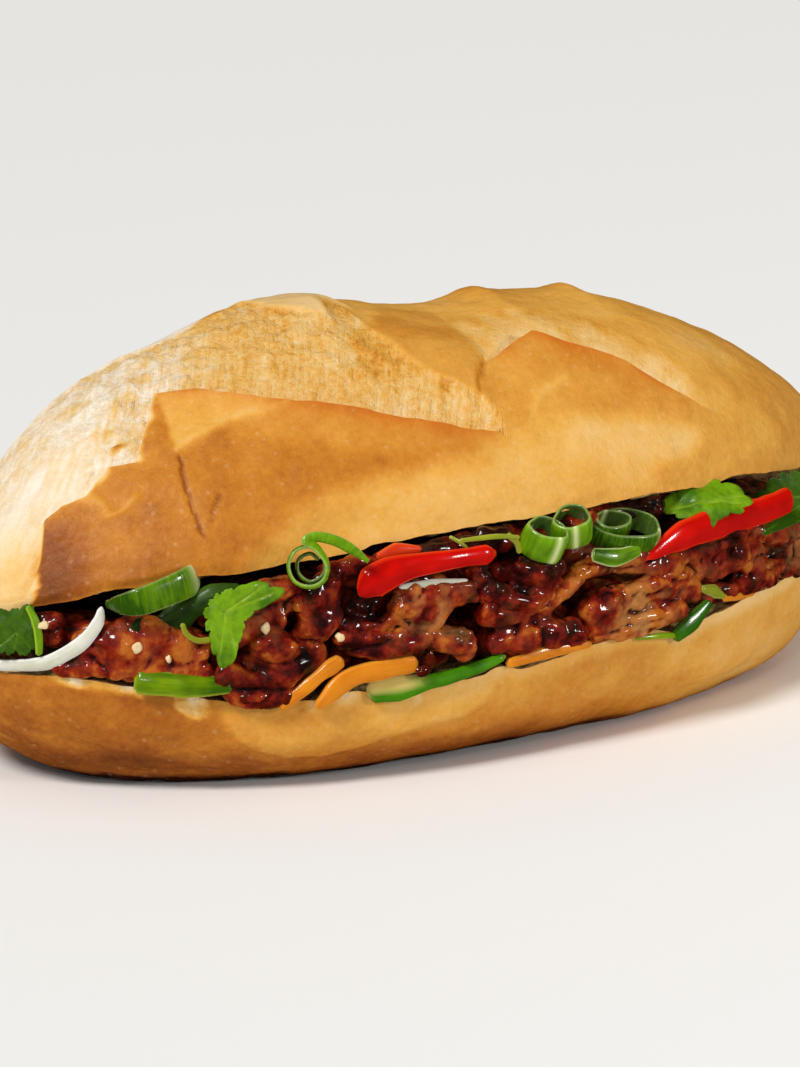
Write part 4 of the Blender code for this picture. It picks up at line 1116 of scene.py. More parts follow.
@dataclass
class Pork:
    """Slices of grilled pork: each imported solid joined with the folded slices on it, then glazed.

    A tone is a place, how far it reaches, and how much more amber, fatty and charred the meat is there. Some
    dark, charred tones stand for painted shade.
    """

    voxel: float = 0.62
    slabs: dict = field(default_factory=lambda: {
        "pork_1": (
            Sweep(((-92, -8, 29), (-87, -14, 31), (-80, -20, 31)), (6, 8, 6), 3.0, (0, 0.3, 1)),
        ),
        "pork_2": (
            Sweep(((-80, -21.5, 28.0), (-71.7, -27.6, 30.2), (-65.5, -30.8, 29.3),
                   (-58.6, -34.0, 27.0)), (5, 8, 8, 6), 3.4, (0, 0.35, 1)),
            Sweep(((-84, -19.6, 24.8), (-74.3, -26.8, 24.8), (-65.6, -31.6, 24.4),
                   (-58.3, -34.9, 23.6)), (2.5, 4, 4, 3), 3.0, (0, 0.1, 1)),
        ),
        "pork_3": (
            Sweep(((-56.5, -35.5, 31.0), (-53.5, -36.6, 36.0), (-47.6, -38.4, 38.2),
                   (-42.8, -39.6, 37.0)), (6, 8, 8, 6), 3.6, (0, -0.8, 0.7)),
            Sweep(((-57.5, -35.2, 27.5), (-54.0, -36.8, 31.0), (-49.5, -38.3, 34.0),
                   (-45.5, -39.5, 33.0)), (5, 7, 7, 5), 3.4, (0.5, -0.4, 0.8)),
        ),
        "pork_4": (
            Sweep(((-58.5, -35.0, 24.0), (-54.5, -36.8, 21.6), (-49.5, -38.3, 20.8),
                   (-44.5, -39.9, 21.8)), (5, 7, 8, 5), 4.0, (0, 0.2, 1)),
            Sweep(((-52.5, -38.0, 30.0), (-47.0, -39.8, 27.0), (-43.4, -40.4, 23.5)), (6, 8, 5), 4.0,
                  (0.6, 0, 0.8)),
            Sweep(((-43.5, -39.8, 29.0), (-41.4, -40.6, 26.0), (-41.6, -40.6, 22.4)), (3, 5, 3), 3.0,
                  (1, 0, 0)),
        ),
        "pork_5": (
            Sweep(((-38.0, -41.2, 37.4), (-37.4, -41.6, 33.0), (-33.7, -42.4, 30.4),
                   (-28.8, -43.2, 30.2), (-25.4, -43.6, 33.0), (-25.2, -43.4, 37.0)),
                  (2.4, 3.2, 3.8, 3.8, 3.0, 2.4), 3.2, (0.2, -1, 0.3), steps=60),
            Sweep(((-43.6, -39.8, 33.5), (-40.6, -40.7, 37.0), (-38.0, -41.2, 41.0)), (6, 8, 5), 3.2,
                  (1, 0, 0.4)),
            Sweep(((-44.0, -39.6, 28.6), (-41.4, -40.7, 30.6), (-39.0, -41.3, 33.6)), (4, 6, 5), 3.2,
                  (1, -0.2, -0.5)),
            Sweep(((-39.5, -38.8, 39.4), (-34.0, -39.9, 41.0), (-26.5, -40.9, 41.8)), (4, 5, 4), 3.4,
                  (0, -0.3, 1)),
        ),
        "pork_6": (
            Sweep(((-38.0, -41.2, 28.8), (-30.0, -42.8, 27.4), (-21.6, -43.9, 27.2),
                   (-11.5, -44.6, 25.2)), (4, 6, 6, 5), 3.8, (0, 0.15, 1)),
            Sweep(((-17.0, -44.4, 27.6), (-13.4, -44.9, 25.0), (-12.0, -44.9, 22.4)), (4, 6.5, 4), 3.4,
                  (1, 0, 0.2)),
        ),
        "pork_7": (
            Sweep(((-27.0, -43.2, 31.6), (-21.6, -43.9, 34.4), (-16.7, -44.3, 34.4),
                   (-9.5, -44.7, 34.4)), (5, 7, 6, 5), 3.2, (0, -0.3, 1)),
            Sweep(((-25.0, -43.6, 30.0), (-20.0, -44.6, 31.0), (-17.0, -44.8, 33.6)), (4, 5, 4), 3.0,
                  (0.3, 0, 1)),
            Sweep(((-27.0, -40.8, 41.0), (-18.0, -41.6, 42.2), (-8.0, -42.0, 42.5)), (4, 5, 5), 3.4,
                  (0, -0.3, 1)),
        ),
        "pork_8": (
            Sweep(((-10.0, -44.4, 39.6), (-8.6, -45.0, 35.4), (-4.5, -45.3, 32.0), (1.0, -45.2, 31.0),
                   (5.8, -45.0, 32.6)), (4, 5.5, 6, 5.5, 4), 3.6, (0.4, -0.6, 0.8), steps=60),
            Sweep(((-3.0, -44.0, 37.6), (3.0, -44.4, 35.0), (8.5, -44.2, 35.8)), (6, 8, 5), 3.0,
                  (0, -0.5, 1)),
            Sweep(((-10.0, -42.0, 42.4), (-3.0, -41.8, 42.7), (1.0, -39.4, 42.4), (8.0, -38.8, 42.4),
                   (13.0, -39.8, 42.7)), (5, 5, 5), 3.4, (0, -0.3, 1)),
        ),
        "pork_9": (
            Sweep(((-9.5, -44.7, 30.6), (-4.8, -45.2, 28.6), (0.8, -45.2, 28.8), (7.2, -45.0, 31.0),
                   (13.6, -44.5, 35.6)), (4.5, 4.5, 3.6, 3.2, 2.8), 3.2, (0.1, -0.5, 1), steps=60),
            Sweep(((-8.5, -44.7, 23.9), (0.8, -45.2, 24.0), (7.3, -45.1, 23.8), (13.0, -44.9, 21.8)),
                  (4, 6, 6.5, 4), 3.6, (0, 0, 1)),
        ),
        "pork_10": (
            Sweep(((9.5, -44.0, 33.8), (16.1, -44.0, 35.0), (25.4, -43.1, 35.0), (32.2, -42.0, 34.2)),
                  (4, 5, 5, 4), 3.2, (0, -0.4, 1)),
            Sweep(((27.0, -43.2, 33.6), (32.0, -42.4, 32.4), (36.0, -41.4, 30.6)), (4, 5, 4), 3.0,
                  (0.2, 0, 1)),
            Sweep(((11.0, -39.8, 42.8), (15.0, -40.4, 42.8), (20.0, -36.8, 41.6), (28.0, -36.2, 41.4),
                   (34.0, -38.8, 42.6)), (5, 5, 5), 3.4, (0, -0.3, 1)),
        ),
        "pork_11": (
            Sweep(((12.0, -44.6, 26.2), (20.8, -44.1, 28.4), (29.1, -42.9, 29.4), (37.6, -41.2, 28.4)),
                  (5, 6, 6.5, 6), 3.8, (0, -0.2, 1)),
            Sweep(((13.0, -45.0, 22.4), (25.6, -44.0, 22.6), (36.5, -42.0, 23.4)), (4.5, 5.5, 4), 3.2,
                  (0, 0.2, 1)),
            Sweep(((35.5, -41.6, 29.6), (37.9, -41.1, 27.4), (38.6, -40.8, 24.6)), (3, 4.5, 3), 3.0,
                  (1, 0, 0.2)),
        ),
        "pork_12": (
            Sweep(((33.0, -41.9, 33.6), (41.0, -40.0, 33.4), (50.3, -37.4, 33.6), (58.0, -34.6, 33.0)),
                  (5, 7, 7, 5), 3.6, (0, -0.3, 1)),
            Sweep(((38.0, -41.0, 30.0), (44.0, -39.6, 29.2), (50.0, -37.8, 29.6)), (4, 6, 5), 3.4,
                  (0, 0, 1)),
            Sweep(((37.0, -36.8, 40.6), (45.0, -34.8, 40.6), (56.0, -31.6, 39.6)), (4, 5, 4), 3.4,
                  (0, -0.3, 1)),
        ),
        "pork_13": (
            Sweep(((48.5, -38.0, 31.0), (53.0, -36.8, 30.2), (58.0, -34.7, 27.4)), (6, 8, 6), 3.8,
                  (0.3, 0, 1)),
            Sweep(((40.0, -40.8, 25.0), (50.0, -38.2, 24.0), (62.0, -33.6, 23.6)), (3, 4.5, 4), 3.2,
                  (0, 0, 1)),
        ),
        "pork_14": (
            Sweep(((54.0, -36.2, 34.4), (62.0, -32.8, 33.0), (70.0, -28.4, 30.4), (78.0, -23.0, 29.0)),
                  (4, 6, 7, 5), 3.4, (0, -0.4, 1)),
            Sweep(((58.0, -34.6, 24.2), (70.0, -29.2, 23.6), (82.0, -20.8, 23.4)), (4, 6, 4), 3.4,
                  (0, 0, 1)),
        ),
    })
    tones: tuple = (
        (-72, -29, 30, 9, 0.6, 0.15, 0.0), (-62, -33, 29, 8, 0.55, 0.1, 0.0),
        (-52, -38, 36, 8, 0.55, 0.35, 0.0), (-48, -39, 27, 8, 0.1, 0.0, 0.2),
        (-43.5, -40, 26, 3.2, -0.5, 0.0, 1.0), (-46, -39, 21, 4, 0.0, 0.0, 0.3),
        (-39, -41, 34, 6, -0.2, 0.0, 0.1), (-31, -42, 35, 4.6, -0.5, 0.0, 1.3),
        (-29, -43, 30, 6, 0.6, 0.0, 0.0), (-20, -44, 33.5, 6.5, 0.8, 0.8, 0.0),
        (-26, -44, 27, 8, -0.25, 0.0, 0.0), (-13.5, -45, 25.5, 4, 0.1, 0.3, 0.0),
        (-6, -45, 35, 6, -0.4, 0.0, 0.0), (-2, -45, 28.8, 5, 1.0, 0.2, 0.0),
        (8, -45, 31.5, 4, 1.0, 0.3, 0.0), (13, -44.6, 35.5, 4, 0.7, 0.5, 0.0),
        (2, -45, 24, 7, -0.2, 0.0, 0.2), (18, -44, 31.2, 4, -0.6, 0.0, 0.9),
        (20, -44, 34.8, 5, 0.35, 0.4, 0.0), (23, -44, 28, 8, 0.85, 0.2, 0.0),
        (25, -43.5, 24, 6, 0.8, 1.4, 0.0), (37, -41, 28.5, 5, 0.8, 0.3, 0.0),
        (42, -40, 33, 8, -0.2, 0.1, 0.1), (53, -37, 29.5, 4.5, 0.8, 0.2, 0.0),
        (58, -35, 33, 4, 0.5, 0.6, 0.0), (70, -28, 29, 8, 0.3, 0.7, 0.0),
        # The tone at x -87 and the four after it darken and char slices that lie in shade, at the far left
        # and under the lid's lip: painted shade.
        (66, -31, 24, 6, 0.1, 0.0, 0.0), (-87, -15, 30, 8, -0.2, 0.0, 0.2),
        (-18, -42, 43, 5, -0.6, 0.0, 0.2), (-5, -42, 43.5, 6, -0.6, 0.0, 0.2),
        (33, -39.5, 42.5, 6, -0.7, 0.0, 0.7), (49, -34.5, 42, 8, -0.6, 0.0, 0.5),
    )
    uneven: Unevenness = field(default_factory=lambda: Unevenness(5))

    def build(self) -> None:
        """Makes every slice."""
        for number, name in enumerate(self.slabs):
            self.build_slice(name, number)

    def joined(self, name: str, number: int) -> tuple[np.ndarray, np.ndarray, np.ndarray]:
        """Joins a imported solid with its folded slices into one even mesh.

        Args:
            name: The solid's node.
            number: Its place in the list.

        Returns:
            The mesh's points in millimetres, its faces and its edges.
        """
        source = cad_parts[name].data
        points = np.empty(len(source.vertices) * 3)
        source.vertices.foreach_get("co", points)
        points = points.reshape(-1, 3) / MM
        faces = [list(face.vertices) for face in source.polygons]
        for turn, slab in enumerate(self.slabs[name]):
            more, more_faces, _ = slab.form(100 + 10 * number + turn)
            faces += [[corner + len(points) for corner in face] for face in more_faces]
            points = np.vstack([points, more])
        # The closed forms run through each other, and remeshing makes one even skin round them all.
        rough = bpy.data.meshes.new(name + "_rough")
        rough.from_pydata((points * MM).tolist(), [], faces)
        holder = bpy.data.objects.new(name + "_rough", rough)
        bpy.context.scene.collection.objects.link(holder)
        face_outwards(holder)
        remesh = holder.modifiers.new("even", "REMESH")
        remesh.mode = "VOXEL"
        remesh.voxel_size = self.voxel * MM
        rounding = holder.modifiers.new("rounding", "SMOOTH")
        rounding.factor = 0.7
        rounding.iterations = 5
        bpy.context.view_layer.update()
        data = holder.evaluated_get(bpy.context.evaluated_depsgraph_get()).to_mesh()
        even = np.empty(len(data.vertices) * 3)
        data.vertices.foreach_get("co", even)
        quads = np.empty(len(data.loops), np.int32)
        data.loops.foreach_get("vertex_index", quads)
        edges = np.empty(len(data.edges) * 2, np.int32)
        data.edges.foreach_get("vertices", edges)
        bpy.data.objects.remove(holder)
        return even.reshape(-1, 3) / MM, quads.reshape(-1, 4), edges.reshape(-1, 2)

    @staticmethod
    def settle(values: np.ndarray, edges: np.ndarray, times: int) -> np.ndarray:
        """Evens values out over the mesh, each time with the mean of their neighbours.

        Args:
            values: One row for each vertex.
            edges: The two vertices of each edge.
            times: How often it is done.

        Returns:
            The settled values.
        """
        count = len(values)
        links = np.bincount(edges.ravel(), minlength=count).astype(float)
        links = links.reshape((-1,) + (1,) * (values.ndim - 1))
        for _ in range(times):
            total = np.zeros_like(values)
            np.add.at(total, edges[:, 0], values[edges[:, 1]])
            np.add.at(total, edges[:, 1], values[edges[:, 0]])
            values = 0.4 * values + 0.6 * total / np.maximum(links, 1.0)
        return values

    def build_slice(self, name: str, number: int) -> None:
        """Makes one slice of pork.

        Args:
            name: The slice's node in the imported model.
            number: Its place in the list, which makes its wrinkles its own.
        """
        points, faces, edges = self.joined(name, number)
        corners = points[faces]
        face_normals = np.cross(corners[:, 2] - corners[:, 0], corners[:, 3] - corners[:, 1])
        normals = np.zeros_like(points)
        for corner in range(4):
            np.add.at(normals, faces[:, corner], face_normals)
        normals = unit(normals)
        # Folds and wrinkles are drawn for each slice on its own, and their hollows are found by evening out;
        # the finish paints shade into the hollows.
        n = self.uneven
        own = points + 57.0 * number
        warped = own + 1.8 * place(n.noise(own, 7.0), n.noise(own + 30.0, 7.0), n.noise(own + 60.0, 7.0))
        folds = n.ridged(warped * np.array((0.8, 0.6, 1.3)), 6.5)
        wrinkles = n.ridged(warped * np.array((0.8, 1.0, 1.3)), 2.9)
        height = 0.75 * folds + 0.42 * wrinkles + 0.14 * n.layered(own, 1.5, 2) - 0.1
        moved = points + normals * height[:, None]
        hollow = ((self.settle(moved, edges, 9) - moved) * normals).sum(axis=1)
        crease = np.clip(0.62 - 1.3 * hollow, 0.0, 1.0)
        amber, pale, char = (np.zeros(len(points)) for _ in range(3))
        for x, y, z, reach, more_amber, more_pale, more_char in self.tones:
            near = np.exp(-(((points - (x, y, z)) / reach) ** 2).sum(axis=1))
            amber, pale, char = amber + more_amber * near, pale + more_pale * near, char + more_char * near
        values = {
            "crease": crease,
            "amber": np.clip(0.38 + 0.62 * amber, 0.0, 1.0),
            "pale": np.clip(pale, 0.0, 1.0),
            "char": np.clip(char * (0.9 + n.noise(own, 2.2)), 0.0, 1.0),
        }
        piece = make_piece(name + "_glazed", moved, faces.tolist(), GlazedMeatFinish(), values)
        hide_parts(name)


def plant_piece(
    name: str, points: np.ndarray, faces: list, finish: Plant, values: dict, node: str | None
) -> None:
    """Makes a piece of plant with its faces turned outwards.

    Args:
        name: The piece's name.
        points: Its vertices in millimetres.
        faces: A list of vertex numbers for each face.
        finish: Which plant it is.
        values: What the finish reads.
        node: The node that it stands for, or None if it is too thin to be one.
    """
    piece = make_piece(name, points, faces, finish.value, values)
    face_outwards(piece)
    if node:
        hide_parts(node)


@dataclass(frozen=True)
class Strip:
    """A strip of vegetable. It stands for a node, or is too thin to be one.

    flesh_side is 1 or -1 where one side is all flesh, as far along as flesh_end, dark is how dark its two
    ends are, and rim is how pale its cut edges are.
    """

    node: str
    slot: str
    finish: Plant
    band: Sweep
    flesh_side: float = 0.0
    dark: tuple = (0.0, 0.0)
    is_node: bool = True
    flesh_end: float = 2.0
    rim: float = 0.8

    def build(self) -> None:
        """Makes the strip, pale at its cut ends and edges or on the whole side that is flesh."""
        points, faces, shares = self.band.form(sum(ord(letter) for letter in self.node))
        across, along = shares["across"], shares["along"]
        cut = self.rim * smooth(0.75, 1.0, np.abs(across))
        if self.flesh_side:
            cut = smooth(-0.35, -0.1, self.flesh_side * across)
            cut = cut * smooth(self.flesh_end, self.flesh_end - 0.2, along)
        cut = np.maximum(cut, self.rim * smooth(0.03, 0.0, np.minimum(along, 1.0 - along)))
        dark = self.dark[0] + (self.dark[1] - self.dark[0]) * along
        values = {"cut": cut, "dark": dark, "threads": shares["threads"]}
        node = self.node if self.is_node else None
        plant_piece(self.node + "_fresh", points, faces, self.finish, values, node)


STRIPS = (
    Strip("chili_1", "chili", Plant.CHILI,
          Sweep(((-33.8, -43.9, 36.8), (-30.7, -44.6, 39.4), (-25.8, -45.3, 41.0), (-18.1, -46.0, 41.5),
                 (-7.2, -46.6, 41.5)), (1.4, 6.2, 5.8, 4.4, 3.6, 3.6), 1.4, (0.1, 0.12, 1.0), cup=0.14),
          dark=(0.35, 0.0)),
    Strip("chili_2", "chili", Plant.CHILI_PALE,
          Sweep(((-29.0, -41.8, 42.6), (-25.4, -42.6, 43.4), (-20.6, -43.2, 43.4)), (1.4, 3.4, 1.0),
                1.2, (0.0, 0.1, 1.0))),
    Strip("chili_3", "chili", Plant.CHILI,
          Sweep(((25.7, -45.2, 35.2), (34.8, -43.4, 37.9), (48.1, -39.8, 38.4), (58.0, -37.0, 38.2),
                 (65.4, -34.7, 38.8)), (1.4, 6.0, 5.8, 5.2, 4.6), 1.4, (0.0, 0.15, 1.0), cup=0.12,
                blunt=0.7), dark=(0.0, 0.2)),
    Strip("onion_1", "onion", Plant.ONION,
          Sweep(((-93.5, -10.5, 24.6), (-90.5, -15.0, 24.7), (-85.1, -20.5, 25.6), (-82.0, -23.2, 27.6),
                 (-79.1, -25.4, 30.3), (-76.9, -26.8, 33.8), (-76.2, -27.0, 36.6)),
                (1.6, 2.2, 2.6, 2.8, 2.8, 2.2, 1.0), 0.7, (-0.35, 0.0, 1.0), cup=0.08),
          dark=(0.6, 0.0)),
    Strip("onion_2", "onion", Plant.ONION,
          Sweep(((-26.0, -44.6, 37.4), (-19.6, -45.4, 37.4), (-12.5, -45.7, 37.0)), (0.9, 1.6, 0.6),
                0.6, (0.0, 0.2, 1.0)), dark=(0.5, 0.9)),
    Strip("carrot_1", "carrot", Plant.CARROT,
          Sweep(((-36.6, -43.0, 25.2), (-40.8, -42.6, 22.8), (-44.7, -41.6, 19.8),
                 (-48.4, -40.4, 17.2)), (2.0, 3.4, 2.6), 2.0, (0.5, 0.0, 1.0), cup=0.0, ragged=0.35)),
    Strip("carrot_2", "carrot", Plant.CARROT,
          Sweep(((-22.5, -45.2, 22.8), (-29.5, -44.8, 22.6), (-36.0, -43.6, 21.4),
                 (-42.0, -42.6, 16.8)), (2.4, 3.6, 3.4, 2.0), 2.0, (0.2, 0.0, 1.0), cup=0.0,
                ragged=0.35)),
    Strip("carrot_3", "carrot", Plant.CARROT,
          Sweep(((-4.5, -45.9, 19.9), (4.0, -46.1, 20.9), (14.0, -45.6, 20.9)), (1.6, 2.6, 1.4), 1.8,
                (0.0, 0.2, 1.0), cup=0.0)),
    Strip("carrot_4", "carrot", Plant.CARROT,
          Sweep(((45.5, -40.2, 23.8), (50.0, -38.8, 23.1), (55.5, -36.6, 22.2)), (2.2, 2.6, 1.8), 1.8,
                (0.0, 0.1, 1.0), cup=0.0)),
    Strip("cucumber_1", "cucumber", Plant.RIND_PALE,
          Sweep(((-71.8, -30.4, 23.2), (-64.0, -34.6, 22.3), (-56.0, -37.8, 21.8)), (4.2, 5.0, 2.6),
                1.8, (0.0, 0.45, 1.0), cup=0.1, blunt=0.75), dark=(0.0, 0.7)),
    Strip("cucumber_2", "cucumber", Plant.RIND,
          Sweep(((-32.0, -43.4, 18.6), (-24.5, -44.5, 18.6), (-17.0, -45.2, 19.0), (-10.6, -45.7, 20.1),
                 (-4.6, -45.9, 21.5)), (4.6, 5.2, 3.0, 2.4, 2.2, 1.2), 1.7, (0.0, 0.35, 0.9), cup=0.0),
          flesh_side=1.0, flesh_end=0.42),
    Strip("cucumber_3", "cucumber", Plant.RIND,
          Sweep(((33.0, -43.8, 18.4), (37.5, -43.2, 20.8), (42.0, -41.9, 23.8)), (2.4, 3.4, 1.8), 1.9,
                (-0.7, 0.2, 0.7), cup=0.0), dark=(0.3, 0.7), rim=0.15),
    Strip("scallion_6", "scallion", Plant.SCALLION,
          Sweep(((13.6, -45.8, 38.0), (18.6, -46.4, 36.9), (24.4, -45.6, 37.4)), (2.2, 3.6, 2.0), 0.7,
                (0.0, 0.3, 1.0)), dark=(0.5, 0.0)),
    Strip("scallion_7", "scallion", Plant.SCALLION,
          Sweep(((56.5, -37.8, 34.0), (64.8, -34.8, 34.8), (74.0, -29.6, 35.2)), (1.6, 3.2, 2.4), 0.7,
                (0.0, 0.3, 1.0)), dark=(0.8, 0.5), rim=0.1),
    Strip("stalk_1", "herb", Plant.STALK,
          Sweep(((-14.0, -45.0, 44.4), (-7.0, -46.6, 44.6), (-2.6, -47.4, 44.0)), (0.8, 1.0, 0.8), 0.9,
                (0.0, 0.2, 1.0), cup=0.0)),
    Strip("stalk_2", "herb", Plant.STALK,
          Sweep(((-59.1, -36.4, 30.6), (-61.5, -35.4, 30.4), (-63.3, -34.6, 31.6),
                 (-64.0, -34.0, 33.6)), (0.9, 1.1, 0.9), 1.0, (0.0, 0.2, 1.0), cup=0.0)),
    Strip("stem_down", "herb", Plant.STALK,
          Sweep(((-4.6, -46.4, 44.6), (-2.8, -46.6, 43.0), (-1.8, -46.2, 40.6)), (1.0, 1.2, 0.9), 0.9,
                (1.0, 0.2, 0.0), cup=0.0), is_node=False),
    Strip("stem_short", "herb", Plant.STALK,
          Sweep(((-15.8, -44.8, 45.4), (-14.0, -45.2, 44.2), (-12.4, -45.2, 42.8)), (0.7, 0.8, 0.6),
                0.7, (0.3, 0.2, 1.0), cup=0.0), is_node=False),
    Strip("leaf_stalk", "herb", Plant.HERB,
          Sweep(((-87.2, -19.4, 36.4), (-86.2, -20.4, 33.8), (-85.8, -20.8, 30.6),
                 (-85.8, -20.8, 27.4)), (1.0, 1.5, 1.6, 1.2), 0.8, (1.0, 0.2, 0.0), cup=0.1),
          is_node=False),
    # A leaf deep in the mouth, in the shaded finish with darker ends: painted shade.
    Strip("leaf_behind", "herb", Plant.HERB_DARK,
          Sweep(((-71.6, -29.0, 32.7), (-66.0, -30.4, 33.2), (-61.5, -32.0, 35.4), (-57.5, -34.0, 37.4),
                 (-52.5, -35.6, 38.6)), (1.6, 3.8, 4.6, 4.2, 2.0), 0.6, (0.1, 0.3, 1.0), cup=0.15,
                ragged=0.5), dark=(0.9, 0.3), is_node=False, rim=0.1),
    Strip("pepper_bit", "herb", Plant.STALK,
          Sweep(((39.6, -42.6, 26.8), (43.1, -41.6, 25.4), (46.2, -40.6, 23.6)), (1.2, 2.8, 0.8), 1.2,
                (0.0, 0.2, 1.0)), is_node=False),
    Strip("cucumber_edge", "cucumber", Plant.RIND_PALE,
          Sweep(((24.2, -45.0, 20.0), (30.3, -44.4, 19.5), (36.0, -43.4, 18.2)), (0.8, 1.2, 0.8), 1.0,
                (0.0, 0.3, 1.0), cup=0.0), is_node=False),
)


@dataclass(frozen=True)
class Band:
    """A ring, bow or curl of scallion: a thin hollow leaf, cut across."""

    node: str
    path: np.ndarray
    axis: np.ndarray
    outward: np.ndarray
    height: np.ndarray
    thickness: float
    closed: bool
    pale: np.ndarray
    dark: np.ndarray
    round_steps: int = 22

    def build(self) -> None:
        """Makes the band, with painted shade on its inner face, paler cut rims and any painted highlight it
        is given.
        """
        steps = self.round_steps
        turn = np.linspace(0.0, 2.0 * math.pi, steps, endpoint=False)
        across = np.sign(np.cos(turn)) * np.abs(np.cos(turn)) ** 0.4
        out = np.sign(np.sin(turn)) * np.abs(np.sin(turn)) ** 0.7
        half = (self.height / 2)[:, None] * across[None, :]
        thick = self.thickness / 2 * np.broadcast_to(out, half.shape)
        belly = 0.35 * (1.0 - np.broadcast_to(across, half.shape) ** 2)
        reach = (thick + belly)[..., None]
        points = self.path[:, None] + self.axis[:, None] * half[..., None] + self.outward[:, None] * reach
        count = len(self.path)
        faces = grid_faces(count, steps, closed=True).tolist()
        if self.closed:
            last = (count - 1) * steps
            faces += [[last + k, last + (k + 1) % steps, (k + 1) % steps, k] for k in range(steps)]
        else:
            faces += [list(range(steps)), list(range((count - 1) * steps, count * steps))]
        inner = smooth(0.2, -0.6, np.broadcast_to(out, half.shape))
        rim = smooth(0.85, 1.0, np.abs(np.broadcast_to(across, half.shape)))
        travelled = np.concatenate([[0.0], np.cumsum(np.linalg.norm(np.diff(self.path, axis=0), axis=1))])
        threads = place(travelled[:, None] + 0.0 * half, half / 8.0, 0.0 * half)
        # The band's pale values are a painted white highlight.
        cut = np.maximum(np.maximum(0.06 * inner, 0.22 * rim), self.pale[:, None])
        # The inner face is darkened: painted shade inside the tube.
        dark = np.maximum(self.dark[:, None] + 0.0 * half, 0.7 * inner)
        values = {"cut": cut.ravel(), "dark": dark.ravel(), "threads": threads.reshape(-1, 3)}
        name, node = self.node + "_fresh", self.node.replace("_inner", "")
        plant_piece(name, points.reshape(-1, 3), faces, Plant.SCALLION, values, node)


def tipped(front_degrees: float, right_degrees: float) -> np.ndarray:
    """Gives the rotation that tips an upright axis to the front and then to the right."""
    a, b = math.radians(front_degrees), math.radians(right_degrees)
    about_x = np.array([[1, 0, 0], [0, math.cos(a), -math.sin(a)], [0, math.sin(a), math.cos(a)]])
    about_y = np.array([[math.cos(b), 0, math.sin(b)], [0, 1, 0], [-math.sin(b), 0, math.cos(b)]])
    return about_y @ about_x


@dataclass(frozen=True)
class Ring:
    """Where a ring or a bow of scallion lies, how it was cut and squashed, and where a white highlight is
    painted on it.
    """

    node: str
    middle: tuple
    radius: float
    height: float
    front: float
    right: float
    first: float = 0.0
    sweep: float = 360.0
    squash: float = 0.85
    pale_at: float = 300.0
    dark: tuple = (0.0, 0.0)
    taper: float = 9.0
    thickness: float = 0.8

    def build(self) -> None:
        """Makes the ring."""
        closed = self.sweep >= 360.0
        along = np.linspace(0.0, 1.0, 84, endpoint=not closed)
        degrees = self.first + self.sweep * along
        turn = np.radians(degrees)
        wobble = 1.0 + 0.05 * np.sin(3.0 * turn + self.middle[0]) + 0.03 * np.sin(5.0 * turn)
        reach = self.radius * wobble
        deep = self.squash * self.radius * wobble
        circle = place(reach * np.cos(turn), deep * np.sin(turn), 0.0 * turn)
        rotation = tipped(self.front, self.right)
        path = circle @ rotation.T + np.array(self.middle)
        outward = unit(place(np.cos(turn), np.sin(turn) / self.squash, 0.0 * turn)) @ rotation.T
        axis = np.broadcast_to(rotation @ np.array((0.0, 0.0, 1.0)), path.shape)
        height = self.height * (1.0 + 0.10 * np.sin(turn + 1.0))
        if not closed:
            height = height * np.clip(np.minimum(along, 1.0 - along) * self.taper, 0.1, 1.0) ** 0.5
        # A white streak is painted here as a highlight.
        away = (degrees - self.pale_at + 180.0) % 360.0 - 180.0
        pale = 0.9 * bump_of(0.0, 9.0, away)
        dark = self.dark[0] + (self.dark[1] - self.dark[0]) * along
        Band(self.node, path, axis, outward, height, self.thickness, closed, pale, dark).build()


RINGS = (
    Ring("scallion_1", (-66.6, -25.8, 38.4), 8.6, 5.6, -9.0, -12.0, 186.0, 172.0, 0.95, 318.0,
         (0.8, 0.0), 3.5),
    Ring("scallion_3", (4.2, -44.2, 41.6), 3.6, 6.0, 20.0, 12.0, squash=0.9, pale_at=284.0),
    Ring("scallion_4", (10.8, -43.4, 42.9), 3.2, 5.6, 20.0, -14.0, squash=0.9, pale_at=250.0),
    Ring("scallion_5", (23.4, -41.4, 39.9), 6.8, 4.0, 22.0, 6.0, squash=0.62, pale_at=322.0,
         dark=(0.3, 0.6)),
    Ring("scallion_5_inner", (20.4, -41.6, 41.4), 3.4, 3.6, 24.0, 4.0, squash=0.68, pale_at=100.0,
         dark=(0.4, 0.7)),
)


